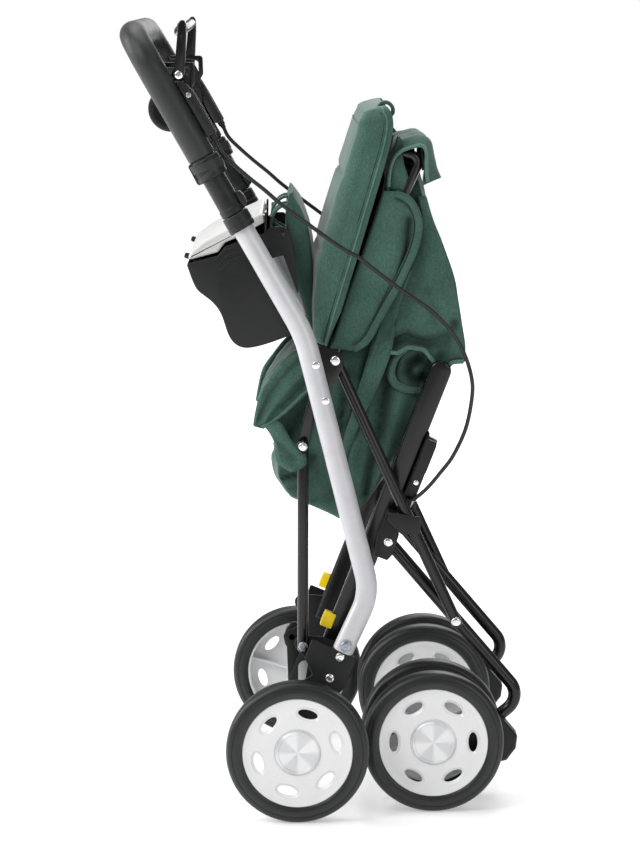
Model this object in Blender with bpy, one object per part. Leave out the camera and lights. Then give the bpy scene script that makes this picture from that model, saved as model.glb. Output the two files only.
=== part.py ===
"""Folding rollator with a padded seat and a shopping bag, folded up and standing on its wheels.

The frame is drawn from its right side, in metres: x runs forward from the rear axle and z up from a
floor line DRAWN_AXLE_HEIGHT below that axle. y is the distance from the middle, positive to the left.
"""
import math

import bmesh
import bpy
from mathutils import Matrix, Vector

# Play and touching gaps
GAP = 0.0003
PLAY = 0.0010
HOLE_PLAY = 0.0005

# Wheels
WHEEL_RADIUS = 0.0875
WHEEL_WIDTH = 0.033
WHEEL_SIDES = 28
RIM_RADIUS = 0.0675
RIM_HALF_WIDTH = 0.013
HUB_RADIUS = 0.0265
HUB_TUBE_RADIUS = 0.014
WINDOW_COUNT = 6
WINDOW_CIRCLE = 0.049
WINDOW_LENGTH = 0.023
WINDOW_WIDTH = 0.011
AXLE_RADIUS = 0.005
HALF_TRACK = 0.244
TWIN_OFFSET = 0.0375

# Pressed plates, pins and their heads
PLATE = 0.003
PIN_RADIUS = 0.004
HEAD_RADIUS = 0.0058
HEAD_HEIGHT = 0.0028
SPACER_RADIUS = 0.0065
POST_BOLT_RADIUS = 0.005
POST_BOLT_HEAD = 0.0078

# Layers across the frame, from the middle outwards
BAG_CLEARANCE = 0.0038
SEAT_FRAME_RADIUS = 0.0062
RAIL_INNER = 0.127
RAIL_THICKNESS = 0.012
LEG_RADIUS = 0.008
STRUT_RADIUS = 0.007
LINK_RADIUS = 0.007
LEVER_THICKNESS = 0.005
POST_Y = 0.2025
POST_RADIUS = 0.013
RAIL_OUTER = RAIL_INNER + RAIL_THICKNESS
CHEEK_INNER = RAIL_OUTER + GAP
LEG_Y = CHEEK_INNER + PLATE + PLAY + LEG_RADIUS
CHEEK_OUTER = LEG_Y + LEG_RADIUS + PLAY
STRUT_Y = CHEEK_OUTER + PLATE + PLAY + STRUT_RADIUS
CLIP_CHEEK = STRUT_Y + STRUT_RADIUS + PLAY
LINK_Y = CHEEK_INNER + PLATE + PLAY + LINK_RADIUS
LEVER_OUTER = LINK_Y - LINK_RADIUS - PLAY
SEAT_FRAME_Y = LEVER_OUTER - LEVER_THICKNESS - PLAY - SEAT_FRAME_RADIUS
BAG_HALF_WIDTH = SEAT_FRAME_Y - SEAT_FRAME_RADIUS - BAG_CLEARANCE
POST_INNER = POST_Y - POST_RADIUS
SEAT_BRACKET_Y = POST_INNER - GAP - PLATE
REAR_PLATE_Y = POST_INNER - PLAY - PLATE

# Where the drawing stands in the part's own frame
DRAWN_AXLE_HEIGHT = 0.0875
REAR_AXLE_X = -0.0296

# Joint points, drawn from the side
AXLE = (0.0, DRAWN_AXLE_HEIGHT)
POST_FOOT = (0.0595, 0.2122)
SEAT_PIVOT = (0.0463, 0.5610)
LEG_PIVOT = (0.1125, 0.3325)
STRUT_BOLT = (0.1960, 0.2350)
LINK_FOOT = (0.0069, 0.2004)
LINK_HEAD = (0.0071, 0.4507)
CASTOR_WHEEL = (0.1680, DRAWN_AXLE_HEIGHT)
STEM_END = (0.2438, 0.1048)
BRAKE_PIVOT = (-0.0075, 0.1437)
LID_HINGE = (-0.0440, 0.7310)
LEVER_PIVOT = (-0.1421, 0.9082)

# Rails, whose centreline runs through the rear axle
RAIL_ANGLE = math.radians(68.7)
RAIL_DEPTH = 0.027
RAIL_START = 0.096
RAIL_END = 0.501
RAIL_EDGE_ROUND = 0.0035

# Posts
POST_KNEE = (0.0888, 0.2766)
POST_WAIST = (0.0088, 0.5936)
POST_TOP = (-0.0713, 0.7339)
POST_KNEE_BEND = 0.068
POST_WAIST_BEND = 0.150
POST_SIDES = 14

# Push bar
HANDLE_LENGTH = 0.255
HANDLE_RADIUS = 0.0105
HANDLE_CORNER = 0.045
HANDLE_INSERT = 0.128
FOAM_RADIUS = 0.0172
FOAM_START = 0.113
COLLAR_RADIUS = 0.0168
COLLAR_HEIGHT = 0.020
SLEEVE_RADIUS = 0.0145
SLEEVE_START = 0.009
BAND_RADIUS = 0.0195
BAND_START = 0.058
BAND_END = 0.086

# Legs and castors
LEG_BEND = 0.048
STEM_ANGLE = math.radians(-140)
STEM_RADIUS = 0.005
STEM_DEPTH = 0.020
FORK_HALF_WIDTH = 0.019
FORK_CUP_RADIUS = 0.011

# Seat, bag and tray
CUSHION_HALF_WIDTH = 0.155
CUSHION_THICKNESS = 0.041
CUSHION_SIDE_PULL = 0.004
BOARD_HALF_WIDTH = 0.123
BOARD_THICKNESS = 0.007
TRAY_HALF_WIDTH = 0.140
TRAY_WALL = 0.0025
CABLE_RADIUS = 0.0025

# Rear bracket plates, in distances up the rail and in front of its centreline
BRACKET_INNER_TOP = ((0.125, -0.015), (0.125, 0.022), (0.118, 0.034), (0.090, 0.036), (0.060, 0.026))
BRACKET_INNER_LOW = ((0.060, -0.014), (0.088, -0.020))
BRACKET_OUTER_TOP = (
    (0.1255, -0.0300), (0.1250, -0.0020), (0.1400, -0.0010), (0.1495, 0.0050), (0.1495, 0.0160),
    (0.1400, 0.0215), (0.1240, 0.0225), (0.1236, 0.0305), (0.0832, 0.0303), (0.0500, 0.0160),
)
BRACKET_OUTER_LOW = ((0.0843, -0.0130), (0.1000, -0.0290))
BRACKET_LOW_WEB = ((0.0836, -0.0080), (0.0836, 0.0298), (0.0862, 0.0298), (0.0862, -0.0080))
BRACKET_FRONT_WEB = ((0.0850, 0.0275), (0.1180, 0.0275), (0.1180, 0.0300), (0.0850, 0.0300))
AXLE_EYE_RADIUS = 0.013
LINK_EYE_RADIUS = 0.0105
BRAKE_EYE_RADIUS = 0.011
REAR_BAR_CENTRE = (0.0100, 0.1125)
REAR_BAR_RADIUS = 0.009
CROSS_TUBE_RADIUS = 0.008

# Release button behind the rail
LOCK_BUTTON_BACK = -0.0236
LOCK_BUTTON_LOW = 0.1375
LOCK_BUTTON_HIGH = 0.1566
LOCK_BUTTON_WRAP = 0.0022
LOCK_BUTTON_LIP = 0.005

# Brake arm and its pawl
BRAKE_ARM_THICKNESS = 0.006
BRAKE_ARM_OUTLINE = (
    (-0.0010, 0.1630), (-0.0075, 0.1640), (-0.0190, 0.1440), (-0.0170, 0.1340), (-0.0110, 0.1235),
    (-0.0040, 0.1235), (0.0015, 0.1340), (0.0035, 0.1480),
)
BRAKE_PAWL_CENTRE = (-0.0075, 0.1285)
BRAKE_PAWL_RADIUS = 0.0035

# Leg clevis, in distances up the rail and in front of its centreline
CLEVIS_LOW = 0.2560
CLEVIS_STRIP = (
    (0.4070, 0.0173), (0.4060, 0.0283), (0.3280, 0.0284), (0.3200, 0.0190), (CLEVIS_LOW, 0.0190),
)
CLEVIS_HIGH = 0.4160
CLEVIS_CHEEK = (
    (0.3060, 0.0010), (0.3060, 0.0150), (0.2820, 0.0250), (CLEVIS_LOW, 0.0265), (0.2470, 0.0230),
    (0.2470, 0.0060), (0.2700, 0.0010),
)
CLEVIS_WEB = ((0.2860, 0.0020), (0.2860, 0.0110), (0.3045, 0.0110), (0.3045, 0.0020))
CABLE_BOX = ((0.3300, 0.0145), (0.3300, 0.0280), (0.4050, 0.0280), (0.4050, 0.0145))
CLIP_BACK = ((0.3068, 0.0010), (0.3093, 0.0122), (0.2893, 0.0330), (0.2865, 0.0249), (0.2960, 0.0040))
CLIP_OUTLINE = ((0.3068, 0.0009), (0.3154, 0.0402), (0.2951, 0.0468), (0.2865, 0.0249))
CABLE_STOP_TOP = 0.3275
CABLE_STOP_HEIGHT = 0.011
CABLE_STOP_BACK = 0.0190
CABLE_STOP_FRONT = 0.0310
CABLE_STOP_Y = 0.1568

# Seat bracket inside each post, and the bar between the posts
SEAT_BRACKET_OUTLINE = (
    (0.0080, 0.5800), (0.0300, 0.5790), (0.0540, 0.5690), (0.0560, 0.5540), (0.0440, 0.5300),
    (0.0360, 0.5000), (0.0220, 0.5000),
)
POST_BAR_CENTRE = (-0.0410, 0.6800)

# Tray, its lid and the pad behind the seat
TRAY_OUTSIDE = (
    (-0.1365, 0.6753), (-0.0971, 0.6860), (-0.0885, 0.6970), (-0.0725, 0.7030), (-0.0080, 0.5930),
    (-0.0170, 0.5830), (-0.0582, 0.5714), (-0.0803, 0.5839), (-0.0925, 0.6123), (-0.1097, 0.6309),
    (-0.1243, 0.6494), (-0.1300, 0.6679),
)
TRAY_INSIDE = (
    (-0.1400, 0.6830), (-0.1335, 0.6735), (-0.1270, 0.6670), (-0.1215, 0.6512), (-0.1075, 0.6330),
    (-0.0900, 0.6140), (-0.0780, 0.5860), (-0.0580, 0.5745), (-0.0185, 0.5860), (-0.0115, 0.5935),
    (-0.0750, 0.7020), (-0.0800, 0.7200),
)
TRAY_ARM = (
    (-0.0730, 0.7000), (-0.0430, 0.7130), (-0.0180, 0.7190), (-0.0110, 0.6920), (0.0050, 0.6310),
    (0.0110, 0.6325), (-0.0050, 0.6940), (-0.0130, 0.7260), (-0.0440, 0.7190), (-0.0720, 0.7025),
)
TRAY_ARM_WIDTH = 0.005
TRAY_ARM_INSET = 0.012
TRAY_EDGE_ROUND = 0.004
LID_OUTLINE = (
    (-0.1370, 0.6790), (-0.1290, 0.6926), (-0.1130, 0.7049), (-0.0847, 0.7196), (-0.0577, 0.7319),
    (-0.0429, 0.7380), (-0.0408, 0.7262), (-0.0725, 0.7080), (-0.0885, 0.7015), (-0.0971, 0.6895),
)
PAD_OUTLINE = (
    (-0.0110, 0.7520), (-0.0040, 0.7570), (0.0020, 0.7420), (0.0090, 0.7040), (0.0130, 0.6790),
    (0.0145, 0.6570), (0.0175, 0.6000), (0.0215, 0.5720), (0.0120, 0.5700), (0.0040, 0.6000),
    (-0.0030, 0.6400), (-0.0080, 0.6740), (-0.0310, 0.6760), (-0.0320, 0.7000), (-0.0110, 0.7130),
)
SOFT_EDGE_ROUND = 0.003

# Brake levers and their housings, in distances along the handle's leg and in front of it
LEVER_PIN_RADIUS = 0.003
HOUSING_DISC_CENTRE = (0.1556, -0.0040)
HOUSING_DISC_RADIUS = 0.028
HOUSING_DISC_WIDTH = 0.010
HOUSING_LOW = 0.104
HOUSING_FRONT = ((HOUSING_LOW, 0.0300), (0.150, 0.0300), (0.172, 0.0260))
HOUSING_HIGH = 0.180
HOUSING_EAR = (
    (0.150, 0.004), (0.150, 0.026), (0.176, 0.034), (0.194, 0.033), (0.199, 0.024), (0.190, 0.012),
)
LEVER_ROOT = (
    (-0.1478, 0.9075), (-0.1430, 0.9010), (-0.1370, 0.9030), (-0.1335, 0.9260), (-0.1325, 0.9714),
    (-0.1376, 0.9738), (-0.1430, 0.9714), (-0.1462, 0.9260),
)
LEVER_BLADE = (
    (-0.1385, 0.1985, 0.9660), (-0.1400, 0.1500, 0.9640), (-0.1440, 0.1100, 0.9600),
    (-0.1470, 0.0850, 0.9570),
)
LEVER_BLADE_RADIUS = 0.0055

# Linkage
TUBE_OVERHANG = 0.008
LEG_ANGLE = math.radians(-49.4)
SEAT_LEVER_BEND = (0.0184, 0.4980)
SEAT_LEVER_HALF_WIDTH = 0.0065

# Seat and its cushion
SEAT_FRAME_TOP = (0.1520, 0.8060)
SEAT_FRAME_HEAD = (0.1260, 0.8120)
SEAT_FRAME_BEND = 0.012
BOARD_LOW = (0.0470, 0.6000)
BOARD_MIDDLE = (0.0870, 0.7340)
BOARD_HIGH = (0.1160, 0.8330)
CUSHION_BACK = ((0.0370, 0.5745), (0.0425, 0.6000), (0.0825, 0.7340), (0.1100, 0.8330), (0.1060, 0.8700))
CUSHION_ROWS = 16
CUSHION_COLUMNS = 12
CUSHION_EDGE = 0.12
CUSHION_EDGE_THICKNESS = 0.72
CUSHION_LOW_SHARE = 0.30
CUSHION_TAPER = 0.28

# Shopping bag
BAG_OUTLINE = (
    (0.1200, 0.7980), (0.1460, 0.7920), (0.1585, 0.7640), (0.1766, 0.6907), (0.1953, 0.6536),
    (0.2043, 0.5914), (0.2082, 0.5665), (0.2060, 0.5528), (0.1772, 0.5440), (0.1500, 0.4960),
    (0.1155, 0.4162), (0.0533, 0.3519), (0.0058, 0.3697), (-0.0091, 0.3810), (-0.0327, 0.4214),
    (-0.0426, 0.4550), (-0.0525, 0.4704), (-0.0512, 0.4855), (-0.0275, 0.5355), (-0.0002, 0.5600),
    (0.0400, 0.5580), (0.0580, 0.5900), (0.0990, 0.7280),
)
BAG_EDGE_ROUND = 0.012

# Castor fork, in distances down the stem and in front of it
FORK_OUTLINE = ((-0.0125, -0.0120), (-0.0125, 0.0320), (-0.0010, 0.0427), (0.0175, 0.0472), (0.0360, 0.0380))
FORK_BACK = (0.0220, -0.0200)
FORK_EYE_RADIUS = 0.013

# Brake cables between the handle and the rails: the right one loops out, the left one is tucked in
CABLE_UPPER = (
    (-0.0870, 0.2010, 0.8110), (-0.0690, 0.1990, 0.7930), (-0.0450, 0.1970, 0.7715),
    (-0.0080, 0.1940, 0.7455), (0.0380, 0.1910, 0.7120), (0.0740, 0.1880, 0.6880),
)
CABLE_LOWER = {
    "right": (
        (0.1190, 0.1850, 0.6530), (0.1620, 0.1830, 0.6230), (0.1890, 0.1810, 0.5950),
        (0.2050, 0.1790, 0.5670), (0.2140, 0.1770, 0.5360), (0.2140, 0.1740, 0.5110),
        (0.2070, 0.1710, 0.4730), (0.1940, 0.1680, 0.4420), (0.1760, 0.1640, 0.4170),
        (0.1600, 0.1600, 0.4030),
    ),
    "left": (
        (0.1090, 0.1855, 0.6620), (0.1380, 0.1840, 0.6330), (0.1560, 0.1825, 0.5980),
        (0.1640, 0.1815, 0.5650), (0.1680, 0.1795, 0.5300), (0.1690, 0.1760, 0.4950),
        (0.1680, 0.1720, 0.4600), (0.1640, 0.1680, 0.4330), (0.1580, 0.1635, 0.4120),
        (0.1500, 0.1600, 0.3960),
    ),
}
CABLE_STEPS = 2
CABLE_FORWARD = 0.0255
CABLE_STRAIGHT = 0.009

SIDES = (("right", -1), ("left", 1))


def rail_point(along, forward):
    """Drawn point at a distance along the rail from the axle, and in front of its centreline."""
    return (
        along * math.cos(RAIL_ANGLE) + forward * math.sin(RAIL_ANGLE),
        DRAWN_AXLE_HEIGHT + along * math.sin(RAIL_ANGLE) - forward * math.cos(RAIL_ANGLE),
    )


def rail_points(*pairs):
    """Outline given along and in front of the rail."""
    return [rail_point(along, forward) for along, forward in pairs]


HANDLE_DIRECTION = (Vector(POST_TOP) - Vector(POST_WAIST)).normalized()
HANDLE_FRONT = Vector((HANDLE_DIRECTION.y, -HANDLE_DIRECTION.x))


def handle_point(along, forward):
    """Drawn point at a distance up the push bar from the post's top, and in front of its centreline."""
    point = Vector(POST_TOP) + HANDLE_DIRECTION * along + HANDLE_FRONT * forward
    return (point.x, point.y)


STEM_DIRECTION = Vector((math.cos(STEM_ANGLE), math.sin(STEM_ANGLE)))
STEM_FRONT = Vector((-STEM_DIRECTION.y, STEM_DIRECTION.x))


def stem_point(along, forward):
    """Drawn point at a distance down the castor stem, and in front of its axis."""
    point = Vector(STEM_END) + STEM_DIRECTION * along + STEM_FRONT * forward
    return (point.x, point.y)


def arc(centre, radius, start, end, steps):
    """Points on an arc between two angles in degrees."""
    points = []
    for index in range(steps + 1):
        angle = math.radians(start + (end - start) * index / steps)
        points.append((centre[0] + radius * math.cos(angle), centre[1] + radius * math.sin(angle)))
    return points


def toward(start, end, distance):
    """Drawn point at a distance from start towards end."""
    point = Vector(start) + (Vector(end) - Vector(start)).normalized() * distance
    return (point.x, point.y)


def bent(points, radii, step=math.radians(14)):
    """Path through points whose inner corners are rounded to the given radii."""
    points = [Vector(point) for point in points]
    path = [points[0]]
    for corner, radius in zip(range(1, len(points) - 1), radii):
        into = (points[corner] - points[corner - 1]).normalized()
        out = (points[corner + 1] - points[corner]).normalized()
        turn = into.angle(out)
        start = points[corner] - into * radius * math.tan(turn / 2)
        inward = (out - into * out.dot(into)).normalized()
        steps = max(2, math.ceil(turn / step))
        for index in range(steps + 1):
            angle = turn * index / steps
            path.append(start + into * radius * math.sin(angle) + inward * radius * (1 - math.cos(angle)))
    path.append(points[-1])
    return path


def new_object(name, shape):
    """Object from a bmesh whose faces are turned outwards."""
    bmesh.ops.recalc_face_normals(shape, faces=shape.faces)
    mesh = bpy.data.meshes.new(name)
    shape.to_mesh(mesh)
    shape.free()
    obj = bpy.data.objects.new(name, mesh)
    bpy.context.scene.collection.objects.link(obj)
    return obj


def prism(name, outline, near, far, edge_round=0.0, edge_steps=2):
    """Side-view outline carried across from one y to another, with its rims rounded if wanted."""
    shape = bmesh.new()
    low, high = sorted((near, far))
    face = shape.faces.new([shape.verts.new((x, low, z)) for x, z in outline])
    moved = bmesh.ops.extrude_face_region(shape, geom=[face])
    new_verts = [item for item in moved["geom"] if isinstance(item, bmesh.types.BMVert)]
    bmesh.ops.translate(shape, verts=new_verts, vec=(0, high - low, 0))
    bmesh.ops.recalc_face_normals(shape, faces=shape.faces)
    if edge_round:
        rims = [edge for edge in shape.edges if abs(edge.verts[0].co.y - edge.verts[1].co.y) < 1e-6]
        bmesh.ops.bevel(
            shape, geom=rims, offset=edge_round, segments=edge_steps, profile=0.5, affect="EDGES",
        )
    return new_object(name, shape)


def tube(name, path, radius, sides=12, bore=0.0):
    """Round tube along a path, solid or with a bore."""
    shape = bmesh.new()
    path = [Vector(point) for point in path]
    tangents = []
    for index in range(len(path)):
        before = path[max(index - 1, 0)]
        after = path[min(index + 1, len(path) - 1)]
        tangents.append((after - before).normalized())
    normal = tangents[0].orthogonal().normalized()
    radii = [radius, bore] if bore else [radius]
    rings = [[] for _ in radii]
    for index, (point, tangent) in enumerate(zip(path, tangents)):
        normal = (normal - tangent * normal.dot(tangent)).normalized()
        binormal = tangent.cross(normal)
        stretch = 1.0
        if 0 < index < len(path) - 1:
            stretch = 1 / max(0.7, tangent.dot((path[index + 1] - point).normalized()))
        for ring, size in zip(rings, radii):
            verts = []
            for side in range(sides):
                angle = 2 * math.pi * (side + 0.5) / sides
                offset = normal * math.cos(angle) + binormal * math.sin(angle)
                verts.append(shape.verts.new(point + offset * size * (1 + (stretch - 1) * 0.5)))
            ring.append(verts)
    for ring in rings:
        for lower, upper in zip(ring, ring[1:]):
            for side in range(sides):
                after = (side + 1) % sides
                shape.faces.new((lower[side], lower[after], upper[after], upper[side]))
    for end in (0, -1):
        if bore:
            outer, inner = rings[0][end], rings[1][end]
            for side in range(sides):
                after = (side + 1) % sides
                shape.faces.new((outer[side], outer[after], inner[after], inner[side]))
        else:
            shape.faces.new(rings[0][end])
    return new_object(name, shape)


def turned(name, profile, centre, direction, sides=24, phase=0.0):
    """Solid turned about a line through centre. The profile lists radius and height along the line."""
    shape = bmesh.new()
    direction = Vector(direction).normalized()
    across = Vector((0, 1, 0)).cross(direction)
    if across.length < 0.01:
        across = Vector((1, 0, 0))
    across.normalize()
    other = direction.cross(across)
    rings = []
    for radius, height in profile:
        base = Vector(centre) + direction * height
        if radius < 1e-7:
            rings.append([shape.verts.new(base)])
            continue
        ring = []
        for side in range(sides):
            angle = phase + 2 * math.pi * side / sides
            ring.append(shape.verts.new(base + (across * math.cos(angle) + other * math.sin(angle)) * radius))
        rings.append(ring)
    pairs = list(zip(rings, rings[1:]))
    if len(rings[0]) > 1 and len(rings[-1]) > 1:
        pairs.append((rings[-1], rings[0]))
    for first, second in pairs:
        for side in range(sides):
            after = (side + 1) % sides
            if len(first) == 1:
                shape.faces.new((first[0], second[side], second[after]))
            elif len(second) == 1:
                shape.faces.new((first[side], first[after], second[0]))
            else:
                shape.faces.new((first[side], first[after], second[after], second[side]))
    return new_object(name, shape)


def rod(name, point, near, far, radius, sides=12):
    """Round rod across the frame at a drawn point."""
    low, high = sorted((near, far))
    profile = [(0, 0), (radius, 0), (radius, high - low), (0, high - low)]
    return turned(name, profile, (point[0], low, point[1]), (0, 1, 0), sides)


def stepped_pin(name, point, sign, start, steps, sides=12):
    """Pin across the frame in one turned piece; each step gives a radius and the y where it ends."""
    profile = [(0, start)]
    low = start
    for radius, high in steps:
        profile += [(radius, low), (radius, high)]
        low = high
    profile.append((0, low))
    return turned(name, profile, (point[0], 0, point[1]), (0, sign, 0), sides)


def combine(target, tools, operation):
    """Applies a Boolean with each tool, and removes the tools."""
    for tool in tools:
        modifier = target.modifiers.new("boolean", "BOOLEAN")
        modifier.operation = operation
        modifier.solver = "EXACT"
        modifier.object = tool
        graph = bpy.context.evaluated_depsgraph_get()
        mesh = bpy.data.meshes.new_from_object(target.evaluated_get(graph))
        target.modifiers.remove(modifier)
        target.data = mesh
        bpy.data.objects.remove(tool)
    return target


def join(target, *tools):
    """Welds the tools to the target."""
    return combine(target, tools, "UNION")


def cut(target, *tools):
    """Cuts the tools out of the target."""
    return combine(target, tools, "DIFFERENCE")


def linear(value):
    """One sRGB channel as linear light."""
    if value <= 0.04045:
        return value / 12.92
    return ((value + 0.055) / 1.055) ** 2.4


def material(name, hex_colour, roughness, metallic=0.0):
    """Principled material of one sRGB colour."""
    mat = bpy.data.materials.new(name)
    mat.use_nodes = True
    shader = mat.node_tree.nodes["Principled BSDF"]
    channels = [int(hex_colour[place:place + 2], 16) / 255 for place in (0, 2, 4)]
    shader.inputs["Base Color"].default_value = (*[linear(value) for value in channels], 1)
    shader.inputs["Roughness"].default_value = roughness
    shader.inputs["Metallic"].default_value = metallic
    return mat


bodies = {}
materials = {}


def body(name, point=AXLE, y=0.0):
    """Empty on the joint's axis that carries the pieces of one moving body."""
    empty = bpy.data.objects.new("body_" + name, None)
    bpy.context.scene.collection.objects.link(empty)
    empty.location = (REAR_AXLE_X + point[0], y, WHEEL_RADIUS - DRAWN_AXLE_HEIGHT + point[1])
    bodies[name] = (empty, Vector((point[0], y, point[1])))


def place(obj, name, body_name, material_name):
    """Gives a finished piece its name, material and body."""
    empty, pivot = bodies[body_name]
    obj.name = name
    obj.data.name = name
    obj.data.materials.clear()
    obj.data.materials.append(materials[material_name])
    obj.data.transform(Matrix.Translation(-pivot))
    obj.data.shade_smooth()
    obj.data.set_sharp_from_angle(angle=math.radians(35))
    obj.parent = empty
    return obj


def make_materials():
    """Finishes of the pieces."""
    materials["silver paint"] = material("silver paint", "d5d5d6", 0.35, 0.3)
    materials["black gloss paint"] = material("black gloss paint", "1b1c1c", 0.28)
    materials["black plastic"] = material("black plastic", "262827", 0.5)
    materials["foam"] = material("foam", "2a2c2d", 0.9)
    materials["tyre"] = material("tyre", "2b2d2e", 0.75)
    materials["rim plastic"] = material("rim plastic", "e3e3e4", 0.45)
    materials["lid plastic"] = material("lid plastic", "e6e6e4", 0.4)
    materials["zinc"] = material("zinc", "b9bcc0", 0.35, 0.9)
    materials["grey steel"] = material("grey steel", "8e8e90", 0.4, 0.6)
    materials["yellow plastic"] = material("yellow plastic", "f7d40a", 0.4)
    materials["green fabric"] = material("green fabric", "3d5f52", 0.9)
    materials["cable sheath"] = material("cable sheath", "1e1f1f", 0.5)


def make_bodies():
    """Empties on every joint's axis."""
    body("rear_axle")
    body("chassis")
    body("post", POST_FOOT)
    body("legs", LEG_PIVOT)
    body("struts", SEAT_PIVOT)
    body("rear_links", LINK_FOOT)
    body("seat_levers", SEAT_PIVOT)
    body("seat", SEAT_PIVOT)
    body("handle", POST_TOP)
    body("tray_lid", LID_HINGE)
    for side, sign in SIDES:
        body("rear_wheel_" + side, AXLE, sign * HALF_TRACK)
        body("brake_arm_" + side, BRAKE_PIVOT, sign * REAR_PLATE_Y)
        body("brake_lever_" + side, LEVER_PIVOT, sign * POST_Y)
        body("lock_button_" + side, rail_point(0.147, 0), sign * RAIL_OUTER)
        body("castor_" + side, STEM_END, sign * LEG_Y)
        for place_name, twin in (("outer", 1), ("inner", -1)):
            body("front_wheel_" + side + "_" + place_name, CASTOR_WHEEL, sign * (LEG_Y + twin * TWIN_OFFSET))


def make_rim(point, y, outward, phase):
    """Dished plastic rim with a closed hub cap and oval windows; outward is the side of its face."""
    bore = AXLE_RADIUS + GAP
    profile = [
        (0, 0.0130),
        (HUB_RADIUS, 0.0120),
        (HUB_RADIUS + 0.0008, 0.0082),
        (RIM_RADIUS - 0.0065, 0.0098),
        (RIM_RADIUS - 0.002, RIM_HALF_WIDTH),
        (RIM_RADIUS, RIM_HALF_WIDTH - 0.0015),
        (RIM_RADIUS, -RIM_HALF_WIDTH),
        (RIM_RADIUS - 0.003, -RIM_HALF_WIDTH),
        (RIM_RADIUS - 0.005, 0.0055),
        (HUB_TUBE_RADIUS, 0.0040),
        (HUB_TUBE_RADIUS, -WHEEL_WIDTH / 2),
        (bore, -WHEEL_WIDTH / 2),
        (bore, 0.0050),
        (0, 0.0050),
    ]
    rim = turned("rim", profile, (point[0], y, point[1]), (0, outward, 0), WHEEL_SIDES, math.pi / WHEEL_SIDES)
    half_straight = (WINDOW_LENGTH - WINDOW_WIDTH) / 2
    cutters = []
    for index in range(WINDOW_COUNT):
        angle = phase + 2 * math.pi * index / WINDOW_COUNT
        centre = Vector((math.cos(angle), math.sin(angle))) * WINDOW_CIRCLE
        along = Vector((-math.sin(angle), math.cos(angle)))
        outline = []
        for end in (1, -1):
            start = math.degrees(math.atan2(along.y, along.x)) + (-90 if end == 1 else 90)
            middle = Vector(point) + centre + along * half_straight * end
            outline += arc((middle.x, middle.y), WINDOW_WIDTH / 2, start, start + 180, 2)
        cutters.append(prism("window", outline, y - WHEEL_WIDTH, y + WHEEL_WIDTH))
    return cut(rim, *cutters)


def make_tyre(point, y):
    """Tyre with a flat tread whose lowest facet lies on the floor."""
    tread = WHEEL_RADIUS / math.cos(math.pi / WHEEL_SIDES)
    half = WHEEL_WIDTH / 2
    profile = [
        (RIM_RADIUS + GAP, -RIM_HALF_WIDTH),
        (RIM_RADIUS + 0.010, -half),
        (tread - 0.003, -half + 0.003),
        (tread, -0.008),
        (tread, 0.008),
        (tread - 0.003, half - 0.003),
        (RIM_RADIUS + 0.010, half),
        (RIM_RADIUS + GAP, RIM_HALF_WIDTH),
    ]
    return turned("tyre", profile, (point[0], y, point[1]), (0, 1, 0), WHEEL_SIDES, math.pi / WHEEL_SIDES)


def make_rear_wheels():
    """Rear axle and the two wheels on its ends."""
    reach = HALF_TRACK + 0.0045
    place(rod("axle", AXLE, -reach, reach, AXLE_RADIUS), "rear_axle", "rear_axle", "zinc")
    for side, sign in SIDES:
        wheel = "rear_wheel_" + side
        rim = make_rim(AXLE, sign * HALF_TRACK, sign, math.radians(15))
        place(rim, "rear_rim_" + side, wheel, "rim plastic")
        place(make_tyre(AXLE, sign * HALF_TRACK), "rear_tyre_" + side, wheel, "tyre")


def make_chassis():
    """Rails, their rear brackets and the tubes across the frame."""
    half = RAIL_DEPTH / 2
    top_centre = rail_point(RAIL_END - half, 0)
    rail_degrees = math.degrees(RAIL_ANGLE)
    outline = rail_points((RAIL_START, -half), (RAIL_START, half))
    outline += arc(top_centre, half, rail_degrees - 90, rail_degrees + 90, 8)
    for side, sign in SIDES:
        rail = prism("rail", outline, sign * RAIL_INNER, sign * RAIL_OUTER, RAIL_EDGE_ROUND, 2)
        place(rail, "rail_" + side, "chassis", "black gloss paint")
        place(make_rear_bracket(sign), "rear_bracket_" + side, "chassis", "black plastic")
        place(make_lock_button(sign), "lock_button_" + side, "lock_button_" + side, "yellow plastic")
        place(make_brake_arm(sign), "brake_arm_" + side, "brake_arm_" + side, "black plastic")
        place(make_leg_clevis(sign), "leg_clevis_" + side, "chassis", "black plastic")
    span = RAIL_OUTER
    rear_bar = rod("bar", REAR_BAR_CENTRE, -span, span, REAR_BAR_RADIUS)
    place(rear_bar, "rear_cross_bar", "chassis", "grey steel")
    span = RAIL_INNER - GAP
    front_tube = rod("bar", LEG_PIVOT, -span, span, CROSS_TUBE_RADIUS)
    place(front_tube, "front_cross_tube", "chassis", "black gloss paint")


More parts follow.
